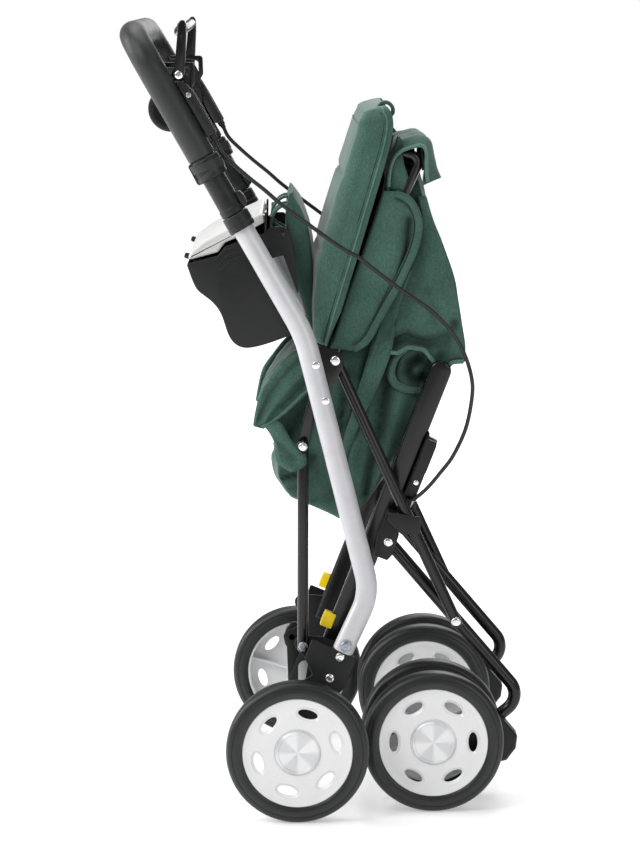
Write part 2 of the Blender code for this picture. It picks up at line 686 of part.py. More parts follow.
def make_rear_bracket(sign):
    """Box of two pressed plates that holds axle, rail, post foot, rear link and brake pivot."""
    inner = rail_points(*BRACKET_INNER_TOP)
    inner += arc(AXLE, AXLE_EYE_RADIUS, -10, -190, 5)
    inner += rail_points(*BRACKET_INNER_LOW)
    inner += arc(LINK_FOOT, LINK_EYE_RADIUS, 250, 90, 6)
    outer = rail_points(*BRACKET_OUTER_TOP)
    outer += arc(AXLE, AXLE_EYE_RADIUS, -10, -190, 5)
    outer += arc(BRAKE_PIVOT, BRAKE_EYE_RADIUS, 230, 90, 5)
    outer += rail_points(*BRACKET_OUTER_LOW)
    inner_y = CHEEK_INNER
    bracket = prism("bracket", inner, sign * inner_y, sign * (inner_y + PLATE))
    plate = prism("plate", outer, sign * REAR_PLATE_Y, sign * (REAR_PLATE_Y + PLATE))
    webs = []
    for web in (BRACKET_LOW_WEB, BRACKET_FRONT_WEB):
        start, end = sign * (inner_y + PLATE / 2), sign * (REAR_PLATE_Y + PLATE / 2)
        webs.append(prism("web", rail_points(*web), start, end))
    post_end = POST_Y + POST_RADIUS + PLAY
    link_end = LINK_Y + LINK_RADIUS + PLAY
    brake_end = REAR_PLATE_Y + PLATE + PLAY + BRAKE_ARM_THICKNESS + PLAY
    pins = []
    for point, start, radius, end, head in (
        (POST_FOOT, REAR_PLATE_Y, POST_BOLT_RADIUS, post_end, POST_BOLT_HEAD),
        (LINK_FOOT, inner_y, PIN_RADIUS, link_end, HEAD_RADIUS),
        (BRAKE_PIVOT, REAR_PLATE_Y, PIN_RADIUS, brake_end, HEAD_RADIUS),
    ):
        steps = [(radius, end), (head, end + HEAD_HEIGHT)]
        pins.append(stepped_pin("pin", point, sign, start + PLATE / 2, steps))
    join(bracket, plate, *webs, *pins)
    return cut(bracket, rod("hole", AXLE, sign * 0.1, sign * 0.2, AXLE_RADIUS + GAP))


def make_lock_button(sign):
    """Release button: a block behind the rail with a lip round the rail's outer side."""
    behind = -RAIL_DEPTH / 2 - GAP
    block = rail_points(
        (LOCK_BUTTON_LOW, LOCK_BUTTON_BACK), (LOCK_BUTTON_LOW, behind),
        (LOCK_BUTTON_HIGH, behind), (LOCK_BUTTON_HIGH, LOCK_BUTTON_BACK),
    )
    lip = rail_points(
        (LOCK_BUTTON_LOW, LOCK_BUTTON_BACK), (LOCK_BUTTON_LOW, behind + LOCK_BUTTON_LIP),
        (LOCK_BUTTON_HIGH, behind + LOCK_BUTTON_LIP), (LOCK_BUTTON_HIGH, LOCK_BUTTON_BACK),
    )
    outside = RAIL_OUTER + GAP
    button = prism("button", block, sign * (RAIL_INNER + 0.001), sign * (outside + LOCK_BUTTON_WRAP / 2))
    return join(button, prism("lip", lip, sign * outside, sign * (outside + LOCK_BUTTON_WRAP)))


def make_brake_arm(sign):
    """Brake arm beside the rear wheel, with a pawl that reaches towards the rim."""
    start = REAR_PLATE_Y + PLATE + PLAY
    arm = prism("arm", BRAKE_ARM_OUTLINE, sign * start, sign * (start + BRAKE_ARM_THICKNESS))
    pawl_end = HALF_TRACK - WHEEL_WIDTH / 2 - PLAY
    join(arm, rod("pawl", BRAKE_PAWL_CENTRE, sign * (start + PLAY), sign * pawl_end, BRAKE_PAWL_RADIUS, 10))
    hole = rod("hole", BRAKE_PIVOT, sign * (start - PLATE), sign * (pawl_end + PLATE), PIN_RADIUS + HOLE_PLAY)
    return cut(arm, hole)


def make_leg_clevis(sign):
    """Moulded part on the rail's front: leg pivot, cable box and the clip that holds the folded strut."""
    front = RAIL_DEPTH / 2 + GAP
    strip = rail_points((CLEVIS_LOW, front), (CLEVIS_HIGH, front), *CLEVIS_STRIP)
    clevis = prism("clevis", strip, sign * RAIL_INNER, sign * (CHEEK_INNER + PLATE))
    cheek = rail_points(*CLEVIS_CHEEK)
    inner_middle = CHEEK_INNER + PLATE / 2
    outer_middle = CHEEK_OUTER + PLATE / 2
    inner_cheek = prism("cheek", cheek, sign * CHEEK_INNER, sign * (CHEEK_INNER + PLATE))
    outer_cheek = prism("cheek", cheek, sign * CHEEK_OUTER, sign * (CHEEK_OUTER + PLATE))
    web = prism("web", rail_points(*CLEVIS_WEB), sign * inner_middle, sign * outer_middle)
    cable_box = prism("box", rail_points(*CABLE_BOX), sign * inner_middle, sign * (LEG_Y + HEAD_HEIGHT))
    back = prism("back", rail_points(*CLIP_BACK), sign * outer_middle, sign * (CLIP_CHEEK + PLATE / 2))
    clip_cheek = prism("clip", rail_points(*CLIP_OUTLINE), sign * CLIP_CHEEK, sign * (CLIP_CHEEK + PLATE))
    steps = [(PIN_RADIUS, outer_middle), (HEAD_RADIUS, CHEEK_OUTER + PLATE + HEAD_HEIGHT)]
    pin = stepped_pin("pin", LEG_PIVOT, sign, inner_middle, steps)
    stop_low = CABLE_STOP_TOP - CABLE_STOP_HEIGHT
    stop = rail_points(
        (stop_low, CABLE_STOP_BACK), (CABLE_STOP_TOP, CABLE_STOP_BACK),
        (CABLE_STOP_TOP, CABLE_STOP_FRONT), (stop_low, CABLE_STOP_FRONT),
    )
    cable_stop = prism("stop", stop, sign * inner_middle, sign * (CABLE_STOP_Y + CABLE_RADIUS))
    return join(clevis, inner_cheek, outer_cheek, web, cable_box, cable_stop, back, clip_cheek, pin)


def make_posts():
    """Bent posts with their riveted seat brackets, the bar between them and their top collars."""
    for side, sign in SIDES:
        y = sign * POST_Y
        foot = toward(POST_FOOT, POST_KNEE, -POST_RADIUS * 0.8)
        drawn = [foot, POST_KNEE, POST_WAIST, POST_TOP]
        path = bent([(x, y, z) for x, z in drawn], [POST_KNEE_BEND, POST_WAIST_BEND])
        post = tube("post", path, POST_RADIUS, POST_SIDES)
        bore_start = handle_point(-HANDLE_INSERT - 0.006, 0)
        bore_end = handle_point(0.01, 0)
        bore_path = [(bore_start[0], y, bore_start[1]), (bore_end[0], y, bore_end[1])]
        bore = tube("bore", bore_path, HANDLE_RADIUS + HOLE_PLAY, 12)
        hole = rod("hole", POST_FOOT, y - 0.02, y + 0.02, POST_BOLT_RADIUS + HOLE_PLAY)
        place(cut(post, bore, hole), "post_" + side, "post", "silver paint")
        place(make_seat_bracket(sign), "seat_bracket_" + side, "post", "black gloss paint")
        start = handle_point(0.008 - COLLAR_HEIGHT, 0)
        bore_radius = POST_RADIUS + GAP
        rim_radius = HANDLE_RADIUS + HOLE_PLAY
        profile = [
            (bore_radius, 0), (COLLAR_RADIUS, 0), (COLLAR_RADIUS, COLLAR_HEIGHT), (rim_radius, COLLAR_HEIGHT),
            (rim_radius, 0.0125), (bore_radius, 0.0125),
        ]
        direction = (HANDLE_DIRECTION.x, 0, HANDLE_DIRECTION.y)
        collar = turned("collar", profile, (start[0], y, start[1]), direction, 16)
        place(collar, "post_collar_" + side, "post", "black plastic")
    span = POST_INNER - GAP
    bar = rod("bar", POST_BAR_CENTRE, -span, span, CROSS_TUBE_RADIUS)
    place(bar, "post_cross_bar", "post", "black gloss paint")


def make_seat_bracket(sign):
    """Plate on the inside of the post with the pin that strut, lever and seat frame turn on."""
    bracket = prism("plate", SEAT_BRACKET_OUTLINE, sign * SEAT_BRACKET_Y, sign * (SEAT_BRACKET_Y + PLATE))
    inside = SEAT_FRAME_Y - SEAT_FRAME_RADIUS - PLAY
    spacer_start = STRUT_Y + STRUT_RADIUS + PLAY
    steps = [
        (HEAD_RADIUS, inside), (PIN_RADIUS, spacer_start), (SPACER_RADIUS, SEAT_BRACKET_Y + PLATE / 2),
        (HEAD_RADIUS, SEAT_BRACKET_Y + PLATE + HEAD_HEIGHT),
    ]
    return join(bracket, stepped_pin("pin", SEAT_PIVOT, sign, inside - 0.002, steps))


def make_tray():
    """Accessory tray with a lid, and the pad that hangs behind the seat."""
    tray = prism("tray", TRAY_OUTSIDE, -TRAY_HALF_WIDTH, TRAY_HALF_WIDTH, TRAY_EDGE_ROUND, 1)
    width = TRAY_HALF_WIDTH - TRAY_WALL
    cut(tray, prism("hollow", TRAY_INSIDE, -width, width))
    arm_inner = TRAY_HALF_WIDTH - TRAY_ARM_INSET
    for sign in (-1, 1):
        join(tray, prism("arm", TRAY_ARM, sign * arm_inner, sign * (arm_inner + TRAY_ARM_WIDTH)))
    place(tray, "accessory_tray", "post", "black plastic")
    lid = prism("lid", LID_OUTLINE, -TRAY_HALF_WIDTH, TRAY_HALF_WIDTH, SOFT_EDGE_ROUND, 1)
    place(lid, "tray_lid", "tray_lid", "lid plastic")
    back = prism("pad", PAD_OUTLINE, -BAG_HALF_WIDTH, BAG_HALF_WIDTH, SOFT_EDGE_ROUND, 1)
    place(back, "back_pad", "post", "green fabric")


def make_push_bar():
    """U-shaped push bar that slides in the posts, with its foam grip, sleeves and brake levers."""
    low = handle_point(-HANDLE_INSERT, 0)
    high = handle_point(HANDLE_LENGTH, 0)
    foam_low = handle_point(FOAM_START, 0)
    path = []
    foam_path = []
    for route, bottom in ((path, low), (foam_path, foam_low)):
        corners = [
            (bottom[0], -POST_Y, bottom[1]), (high[0], -POST_Y, high[1]),
            (high[0], POST_Y, high[1]), (bottom[0], POST_Y, bottom[1]),
        ]
        route += bent(corners, [HANDLE_CORNER, HANDLE_CORNER], math.radians(30))
    place(tube("bar", path, HANDLE_RADIUS, 12), "handle_bar", "handle", "black gloss paint")
    foam = tube("foam", foam_path, FOAM_RADIUS, 12, HANDLE_RADIUS + GAP)
    place(foam, "foam_grip", "handle", "foam")
    start = handle_point(SLEEVE_START, 0)
    inner = HANDLE_RADIUS + GAP
    above = SLEEVE_RADIUS + PLAY
    band_low = BAND_START - SLEEVE_START + PLAY
    band_high = BAND_END - SLEEVE_START
    top = FOAM_START - SLEEVE_START - GAP
    profile = [
        (inner, 0), (SLEEVE_RADIUS, 0), (SLEEVE_RADIUS, band_low - PLAY), (BAND_RADIUS, band_low),
        (BAND_RADIUS, band_high - PLAY), (above, band_high), (above, top), (inner, top),
    ]
    direction = (HANDLE_DIRECTION.x, 0, HANDLE_DIRECTION.y)
    for side, sign in SIDES:
        sleeve = turned("sleeve", profile, (start[0], sign * POST_Y, start[1]), direction, 16)
        place(sleeve, "handle_sleeve_" + side, "handle", "black plastic")
        place(make_lever_housing(sign), "lever_housing_" + side, "handle", "black plastic")
        place(make_brake_lever(sign), "brake_lever_" + side, "brake_lever_" + side, "black gloss paint")


def make_lever_housing(sign):
    """Round clamp inside the grip's leg, with the body that guides the cable and holds the lever's pin."""
    disc_end = POST_Y - FOAM_RADIUS - GAP
    disc_start = sign * (disc_end - HOUSING_DISC_WIDTH)
    centre = handle_point(*HOUSING_DISC_CENTRE)
    disc = rod("disc", centre, disc_start, sign * disc_end, HOUSING_DISC_RADIUS, 24)
    front = FOAM_RADIUS + GAP
    outline = [handle_point(*pair) for pair in ((HOUSING_LOW, front), *HOUSING_FRONT, (HOUSING_HIGH, front))]
    guide = prism("guide", outline, sign * (disc_end - 0.006), sign * (POST_Y + 0.008), 0.002, 1)
    ear_outline = [handle_point(*pair) for pair in HOUSING_EAR]
    ear_inner = disc_end - 0.004
    ear = prism("ear", ear_outline, sign * (ear_inner - 0.003), sign * ear_inner)
    steps = [(LEVER_PIN_RADIUS, POST_Y + 0.0050), (HEAD_RADIUS, POST_Y + 0.0080)]
    return join(disc, guide, ear, stepped_pin("pin", LEVER_PIVOT, sign, ear_inner - 0.002, steps))


def make_brake_lever(sign):
    """Lever that turns on the housing's pin and runs inwards in front of the grip."""
    inner = POST_Y - FOAM_RADIUS - GAP - 0.004 + PLAY
    root = prism("root", LEVER_ROOT, sign * inner, sign * (POST_Y + 0.0035))
    blade = tube("blade", [(x, sign * y, z) for x, y, z in LEVER_BLADE], LEVER_BLADE_RADIUS, 10)
    join(root, blade)
    hole_start, hole_end = sign * (inner - PLATE), sign * (POST_Y + FOAM_RADIUS)
    return cut(root, rod("hole", LEVER_PIVOT, hole_start, hole_end, LEVER_PIN_RADIUS + HOLE_PLAY))


def make_linkage():
    """Struts, legs, rear links and seat levers."""
    for side, sign in SIDES:
        y = sign * STRUT_Y
        top = toward(SEAT_PIVOT, STRUT_BOLT, -TUBE_OVERHANG)
        bottom = toward(STRUT_BOLT, SEAT_PIVOT, -TUBE_OVERHANG)
        strut = tube("strut", [(top[0], y, top[1]), (bottom[0], y, bottom[1])], STRUT_RADIUS, 12)
        outside = STRUT_Y + STRUT_RADIUS
        steps = [(SPACER_RADIUS, STRUT_Y), (HEAD_RADIUS, outside + HEAD_HEIGHT)]
        join(strut, stepped_pin("bolt", STRUT_BOLT, sign, LEG_Y + LEG_RADIUS + PLAY, steps))
        reach = STRUT_RADIUS * 1.6
        cut(strut, rod("hole", SEAT_PIVOT, y - reach, y + reach, PIN_RADIUS + HOLE_PLAY))
        place(strut, "strut_" + side, "struts", "black gloss paint")
        place(make_leg(sign), "leg_" + side, "legs", "black gloss paint")
        place(make_rear_link(sign), "rear_link_" + side, "rear_links", "black gloss paint")
        place(make_seat_lever(sign), "seat_lever_" + side, "seat_levers", "grey steel")


def make_leg(sign):
    """Leg tube from its clevis down to the castor, with the castor's stem welded in its end."""
    y = sign * LEG_Y
    top = toward(LEG_PIVOT, STRUT_BOLT, -TUBE_OVERHANG)
    turn = LEG_ANGLE - STEM_ANGLE
    corner = Vector(STEM_END) - STEM_DIRECTION * LEG_BEND * math.tan(turn / 2)
    corners = [(top[0], y, top[1]), (corner.x, y, corner.y), (STEM_END[0], y, STEM_END[1])]
    path = bent(corners, [LEG_BEND - HOLE_PLAY])
    leg = tube("leg", path, LEG_RADIUS, 10)
    stem_low = stem_point(STEM_DEPTH, 0)
    stem_high = stem_point(-0.008, 0)
    stem = tube("stem", [(stem_high[0], y, stem_high[1]), (stem_low[0], y, stem_low[1])], STEM_RADIUS, 12)
    join(leg, stem)
    reach = LEG_RADIUS * 1.6
    return cut(leg, rod("hole", LEG_PIVOT, y - reach, y + reach, PIN_RADIUS + HOLE_PLAY))


def make_rear_link(sign):
    """Straight link from the rear bracket up to the seat lever, with the bolt that the lever turns on."""
    y = sign * LINK_Y
    low = toward(LINK_FOOT, LINK_HEAD, -TUBE_OVERHANG)
    high = toward(LINK_HEAD, LINK_FOOT, -TUBE_OVERHANG)
    link = tube("link", [(low[0], y, low[1]), (high[0], y, high[1])], LINK_RADIUS, 12)
    outside = LINK_Y + LINK_RADIUS
    head = rod("head", LINK_HEAD, sign * (outside - 0.001), sign * (outside + HEAD_HEIGHT), HEAD_RADIUS, 12)
    join(link, head)
    reach = LINK_RADIUS * 1.6
    return cut(link, rod("hole", LINK_FOOT, y - reach, y + reach, PIN_RADIUS + HOLE_PLAY))


def make_seat_lever(sign):
    """Flat bar between the rear link and the seat's pivot."""
    bend = SEAT_LEVER_BEND
    half = SEAT_LEVER_HALF_WIDTH
    outline = arc(LINK_HEAD, half + 0.001, 166, 346, 6)
    outline += [(bend[0] + half, bend[1] - 0.002)]
    outline += arc(SEAT_PIVOT, half, -24, 156, 6)
    outline += [(bend[0] - half, bend[1] + 0.002)]
    near = sign * (LEVER_OUTER - LEVER_THICKNESS)
    lever = prism("lever", outline, near, sign * LEVER_OUTER)
    hole = rod("hole", SEAT_PIVOT, near - sign * PLATE, sign * (LEVER_OUTER + PLATE), PIN_RADIUS + HOLE_PLAY)
    return cut(lever, hole)


def make_seat():
    """Seat frame tube, board and cushion."""
    y = SEAT_FRAME_Y
    low = toward(SEAT_PIVOT, SEAT_FRAME_TOP, -TUBE_OVERHANG)
    corners = [
        (low[0], -y, low[1]), (SEAT_FRAME_TOP[0], -y, SEAT_FRAME_TOP[1]),
        (SEAT_FRAME_HEAD[0], -y, SEAT_FRAME_HEAD[1]), (SEAT_FRAME_HEAD[0], y, SEAT_FRAME_HEAD[1]),
        (SEAT_FRAME_TOP[0], y, SEAT_FRAME_TOP[1]), (low[0], y, low[1]),
    ]
    frame = tube("frame", bent(corners, [SEAT_FRAME_BEND] * 4, math.radians(45)), SEAT_FRAME_RADIUS, 8)
    for sign in (-1, 1):
        hole_reach = SEAT_FRAME_RADIUS * 1.6
        near, far = sign * y - hole_reach, sign * y + hole_reach
        cut(frame, rod("hole", SEAT_PIVOT, near, far, PIN_RADIUS + HOLE_PLAY))
    place(frame, "seat_frame", "seat", "black gloss paint")
    half = BOARD_THICKNESS / 2
    outline = [(x - half, z) for x, z in (BOARD_LOW, BOARD_MIDDLE, BOARD_HIGH)]
    outline += [(x + half, z) for x, z in (BOARD_HIGH, BOARD_MIDDLE, BOARD_LOW)]
    board = prism("board", outline, -BOARD_HALF_WIDTH, BOARD_HALF_WIDTH)
    place(board, "seat_board", "seat", "black plastic")
    place(make_cushion(), "seat_cushion", "seat", "green fabric")


def along_line(points, share):
    """Point at a share of a drawn line's length."""
    points = [Vector(point) for point in points]
    lengths = [(after - before).length for before, after in zip(points, points[1:])]
    left = share * sum(lengths)
    for start, end, length in zip(points, points[1:], lengths):
        if left <= length:
            return start.lerp(end, left / length)
        left -= length
    return points[-1]


def spread(count):
    """Places from -1 to 1 that lie closer together near the ends."""
    return [math.sin(math.pi / 2 * (2 * index / count - 1)) for index in range(count + 1)]


def make_cushion():
    """Seat cushion: flat behind, crowned in front, with sides that draw in between its corners."""
    shape = bmesh.new()
    up = (Vector(CUSHION_BACK[3]) - Vector(CUSHION_BACK[1])).normalized()
    front = Vector((-up.y, up.x))
    grid = []
    for u in spread(CUSHION_ROWS):
        share = (u + 1) / 2
        base = along_line(CUSHION_BACK, share)
        swell = CUSHION_LOW_SHARE + (1 - CUSHION_LOW_SHARE) * min(1.0, share / CUSHION_TAPER)
        row = []
        for v in spread(CUSHION_COLUMNS):
            crown = CUSHION_EDGE_THICKNESS + (1 - CUSHION_EDGE_THICKNESS) * (1 - u * u) * (1 - v * v)
            rim = 1.0
            for place_share in (u, v):
                inset = max(0.0, (abs(place_share) - 1 + CUSHION_EDGE) / CUSHION_EDGE)
                rim *= math.sqrt(max(0.0, 1 - inset ** 3))
            half = CUSHION_HALF_WIDTH - CUSHION_SIDE_PULL * (1 - u * u)
            point = base + front * CUSHION_THICKNESS * crown * rim * swell
            row.append(shape.verts.new((point.x, v * half, point.y)))
        grid.append(row)
    for lower, upper in zip(grid, grid[1:]):
        for left in range(CUSHION_COLUMNS):
            shape.faces.new((lower[left], lower[left + 1], upper[left + 1], upper[left]))
    shape.faces.new([*grid[0], grid[1][-1], grid[1][0]])
    for lower, upper in zip(grid[1:-2], grid[2:-1]):
        shape.faces.new((lower[0], lower[-1], upper[-1], upper[0]))
    shape.faces.new([grid[-2][0], grid[-2][-1], *reversed(grid[-1])])
    return new_object("cushion", shape)


def make_bag():
    """Shopping bag, a closed soft body that hangs in front of the board."""
    bag = prism("bag", BAG_OUTLINE, -BAG_HALF_WIDTH, BAG_HALF_WIDTH, BAG_EDGE_ROUND, 2)
    place(bag, "bag_body", "post", "green fabric")


def make_castors():
    """Castor forks with their axles, and the twin wheels on each."""
    outline = [stem_point(*pair) for pair in FORK_OUTLINE]
    outline += arc(CASTOR_WHEEL, FORK_EYE_RADIUS, -75, -255, 8)
    outline += [stem_point(*FORK_BACK)]
    for side, sign in SIDES:
        y = sign * LEG_Y
        fork = prism("fork", outline, y - FORK_HALF_WIDTH, y + FORK_HALF_WIDTH, 0.003, 1)
        cup = stem_bore(y, -0.020, 0.0008, FORK_CUP_RADIUS)
        bore = stem_bore(y, -0.001, STEM_DEPTH + PLAY, STEM_RADIUS + HOLE_PLAY)
        cut(fork, cup, bore)
        reach = TWIN_OFFSET + 0.0045
        join(fork, rod("axle", CASTOR_WHEEL, y - reach, y + reach, AXLE_RADIUS))
        place(fork, "castor_fork_" + side, "castor_" + side, "black plastic")
        for place_name, twin in (("outer", 1), ("inner", -1)):
            wheel = side + "_" + place_name
            wheel_y = y + sign * twin * TWIN_OFFSET
            rim = make_rim(CASTOR_WHEEL, wheel_y, sign * twin, 0.0)
            place(rim, "front_rim_" + wheel, "front_wheel_" + wheel, "rim plastic")
            place(make_tyre(CASTOR_WHEEL, wheel_y), "front_tyre_" + wheel, "front_wheel_" + wheel, "tyre")


def stem_bore(y, low, high, radius):
    """Cutter along the castor stem between two distances down it."""
    start = stem_point(low, 0)
    end = stem_point(high, 0)
    return tube("bore", [(start[0], y, start[1]), (end[0], y, end[1])], radius, 16)


def smooth_line(points, steps):
    """Points on a smooth curve through the given ones."""
    points = [Vector(point) for point in points]
    points = [points[0] * 2 - points[1], *points, points[-1] * 2 - points[-2]]
    line = []
    for before, start, end, after in zip(points, points[1:], points[2:], points[3:]):
        for index in range(steps):
            t = index / steps
            line.append(0.5 * (
                2 * start + (end - before) * t + (2 * before - 5 * start + 4 * end - after) * t * t
                + (3 * start - before - 3 * end + after) * t * t * t
            ))
    line.append(points[-2])
    return line


def make_cables():
    """Brake cables from the lever housings down to the stops on the rails."""
    start = handle_point(HOUSING_LOW - GAP, FOAM_RADIUS + 0.0070)
    end = rail_point(CABLE_STOP_TOP + 2 * GAP, CABLE_FORWARD)
    above_end = rail_point(CABLE_STOP_TOP + CABLE_STRAIGHT, CABLE_FORWARD + 0.0005)
    for side, sign in SIDES:
        route = [(start[0], POST_Y, start[1]), *CABLE_UPPER, *CABLE_LOWER[side]]
        route += [(point[0], CABLE_STOP_Y, point[1]) for point in (above_end, end)]
        line = smooth_line([(x, sign * y, z) for x, y, z in route], CABLE_STEPS)
        curve = bpy.data.curves.new("cable", "CURVE")
        curve.dimensions = "3D"
        curve.bevel_depth = CABLE_RADIUS
        curve.bevel_resolution = 2
        curve.use_fill_caps = True
        spline = curve.splines.new("POLY")
        spline.points.add(len(line) - 1)
        empty, pivot = bodies["post"]
        for point, position in zip(spline.points, line):
            point.co = (*(position - pivot), 1)
        cable = bpy.data.objects.new("brake_cable_" + side, curve)
        bpy.context.scene.collection.objects.link(cable)
        curve.materials.append(materials["cable sheath"])
        cable.parent = empty


def main():
    """Builds every piece."""
    for obj in list(bpy.data.objects):
        bpy.data.objects.remove(obj)
    make_materials()
    make_bodies()
    make_rear_wheels()
    make_chassis()
    make_posts()
    make_tray()
    make_push_bar()
    make_linkage()
    make_seat()
    make_bag()
    make_castors()
    make_cables()


main()
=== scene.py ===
"""Looks of a folding rollator that stands folded on its wheels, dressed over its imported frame.

Places come from a drawing of its right side, in metres: x runs forward from the rear axle, z up from
the floor, and y out from the middle of the frame.
"""
import math

import bmesh
import bpy
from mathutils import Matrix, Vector, noise


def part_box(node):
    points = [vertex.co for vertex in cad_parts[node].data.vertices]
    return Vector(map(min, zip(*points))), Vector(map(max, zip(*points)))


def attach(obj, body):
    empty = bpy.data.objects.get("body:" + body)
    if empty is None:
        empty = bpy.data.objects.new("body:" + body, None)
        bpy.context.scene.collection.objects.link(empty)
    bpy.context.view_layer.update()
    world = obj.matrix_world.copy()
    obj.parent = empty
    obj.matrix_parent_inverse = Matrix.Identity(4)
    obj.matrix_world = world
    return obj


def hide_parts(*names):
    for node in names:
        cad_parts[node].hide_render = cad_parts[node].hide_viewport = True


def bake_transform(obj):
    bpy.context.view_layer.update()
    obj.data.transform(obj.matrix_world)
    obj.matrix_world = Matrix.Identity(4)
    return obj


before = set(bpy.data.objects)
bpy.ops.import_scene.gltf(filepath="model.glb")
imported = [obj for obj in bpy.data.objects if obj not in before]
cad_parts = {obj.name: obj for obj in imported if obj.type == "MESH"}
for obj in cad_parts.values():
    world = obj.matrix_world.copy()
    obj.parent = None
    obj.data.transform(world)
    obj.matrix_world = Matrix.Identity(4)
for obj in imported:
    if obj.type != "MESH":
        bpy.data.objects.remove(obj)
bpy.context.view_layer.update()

# Where the drawing stands
axle_low, axle_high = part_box("rear_axle")
AXLE_X = (axle_low.x + axle_high.x) / 2
AXLE_Z = 0.0875
MM = 0.001

# Camera, 4.2 m from the frame
LENS = 140.35
SENSOR = 36.0
CAMERA_PLACE = (AXLE_X + 0.001, -4.219, 1.0205)
CAMERA_PITCH = math.radians(90 - 7.636)
CAMERA_YAW = math.radians(-0.382)

# Layers across the frame
GAP = 0.0003
PLAY = 0.001
BOLT_SINK = 0.0002
PIN_RADIUS = 0.0039
PIN_HEAD = 0.0058
PIN_COLLAR = 0.0064
BAR_PIN_RADIUS = 0.0049
AXLE_RADIUS = 0.005
AXLE_STUB = 0.0045
EYE_REACH = 0.008
POST_Y = 0.2025
POST_RADIUS = 0.013
RAIL_INNER = 0.127
RAIL_OUTER = 0.139
LEG_Y = 0.1513
LEG_RADIUS = 0.008
REAR_BAR_RADIUS = 0.009
FRONT_BAR_RADIUS = 0.008
STRUT_Y = 0.1713
STRUT_RADIUS = 0.007
LINK_Y = 0.1503
LINK_RADIUS = 0.007
HALF_TRACK = 0.244
TWIN_OFFSET = 0.0375
REAR_PLATE_Y = 0.1855
SEAT_BRACKET_Y = 0.1862

# Joint points of the drawing
AXLE = (0.0, AXLE_Z)
POST_FOOT = (0.0595, 0.2122)
SEAT_PIVOT = (0.0463, 0.561)
LEG_PIVOT = (0.1125, 0.3325)
STRUT_BOLT = (0.196, 0.235)
REAR_BAR = (0.01, 0.1125)
LINK_FOOT = (0.0069, 0.2004)
LINK_HEAD = (0.0071, 0.4507)
CASTOR_WHEEL = (0.168, AXLE_Z)
STEM_END = (0.2438, 0.1048)
RAIL_ANGLE = math.radians(68.7)
STEM_ANGLE = math.radians(-140)

SIDES = (("right", -1), ("left", 1))


# Places and lines

def at(x, z, y=0.0):
    """Point of the frame from its place in the side drawing."""
    return Vector((AXLE_X + x, y, z))


def along_axis(start, angle, along, forward):
    """Drawn point at a distance along a slanted axis, and in front of it."""
    return (
        start[0] + along * math.cos(angle) + forward * math.sin(angle),
        start[1] + along * math.sin(angle) - forward * math.cos(angle),
    )


def rail_point(along, forward):
    """Drawn point up the rail from the rear axle."""
    return along_axis(AXLE, RAIL_ANGLE, along, forward)


def rail_line(pairs):
    """Drawn points from distances up the rail and in front of it."""
    return [rail_point(*pair) for pair in pairs]


POST_WAIST = (0.0088, 0.5936)
POST_KNEE = (0.0888, 0.2766)
POST_TOP = (-0.0713, 0.7339)
HANDLE_ANGLE = math.atan2(POST_TOP[1] - POST_WAIST[1], POST_TOP[0] - POST_WAIST[0])


def handle_point(along, forward):
    """Drawn point up the push bar from the top of the posts."""
    return along_axis(POST_TOP, HANDLE_ANGLE, along, forward)


def handle_line(pairs):
    """Drawn points from distances up the push bar's leg and in front of it."""
    return [handle_point(*pair) for pair in pairs]


def rounded(points, radii, step=8.0, closed=False):
    """Line through points whose corners are rounded; radii is one number or one for each corner."""
    points = [Vector(point) for point in points]
    count = len(points)
    corners = range(count) if closed else range(1, count - 1)
    if not hasattr(radii, "__len__"):
        radii = [radii] * len(corners)
    line = [] if closed else [points[0]]
    for corner, radius in zip(corners, radii):
        before, here, after = points[corner - 1], points[corner], points[(corner + 1) % count]
        into = (here - before).normalized()
        out = (after - here).normalized()
        turn = into.angle(out, 0.0)
        if turn < 0.02:
            line.append(here)
            continue
        reach = min(radius * math.tan(turn / 2), 0.49 * min((here - before).length, (after - here).length))
        radius = reach / math.tan(turn / 2)
        start = here - into * reach
        inward = (out - into * out.dot(into)).normalized()
        steps = max(2, math.ceil(math.degrees(turn) / step))
        for index in range(steps + 1):
            angle = turn * index / steps
            line.append(start + into * radius * math.sin(angle) + inward * radius * (1 - math.cos(angle)))
    if not closed:
        line.append(points[-1])
    return line


def curve_through(points, steps, closed=False):
    """Smooth line through points."""
    points = [Vector(point) for point in points]
    if closed:
        points = [points[-1], *points, points[0], points[1]]
    else:
        points = [points[0] * 2 - points[1], *points, points[-1] * 2 - points[-2]]
    line = []
    for before, start, end, after in zip(points, points[1:], points[2:], points[3:]):
        for index in range(steps):
            t = index / steps
            line.append(
                0.5 * (
                    2 * start + (end - before) * t + (2 * before - 5 * start + 4 * end - after) * t * t
                    + (3 * start - before - 3 * end + after) * t * t * t
                )
            )
    if not closed:
        line.append(points[-2])
    return line


def evenly(line, count, closed=False):
    """The line again, as so many points that lie evenly along it."""
    line = [Vector(point) for point in line]
    if closed:
        line.append(line[0])
    lengths = [0.0]
    for start, end in zip(line, line[1:]):
        lengths.append(lengths[-1] + (end - start).length)
    total = lengths[-1]
    spread = []
    place = 0
    for index in range(count):
        want = total * index / (count if closed else count - 1)
        while place < len(line) - 2 and lengths[place + 1] < want:
            place += 1
        span = lengths[place + 1] - lengths[place]
        share = (want - lengths[place]) / span if span else 0.0
        spread.append(line[place].lerp(line[place + 1], min(1.0, share)))
    return spread


# Materials

def direction_at(line, index):
    """Direction of a line at one of its points, from the points beside it."""
    return (line[min(index + 1, len(line) - 1)] - line[max(index - 1, 0)]).normalized()


def linear(hex_colour):
    """Linear colour of an sRGB hex value."""
    channels = []
    for start in (1, 3, 5):
        value = int(hex_colour[start:start + 2], 16) / 255
        channels.append(value / 12.92 if value <= 0.04045 else ((value + 0.055) / 1.055) ** 2.4)
    return (*channels, 1.0)


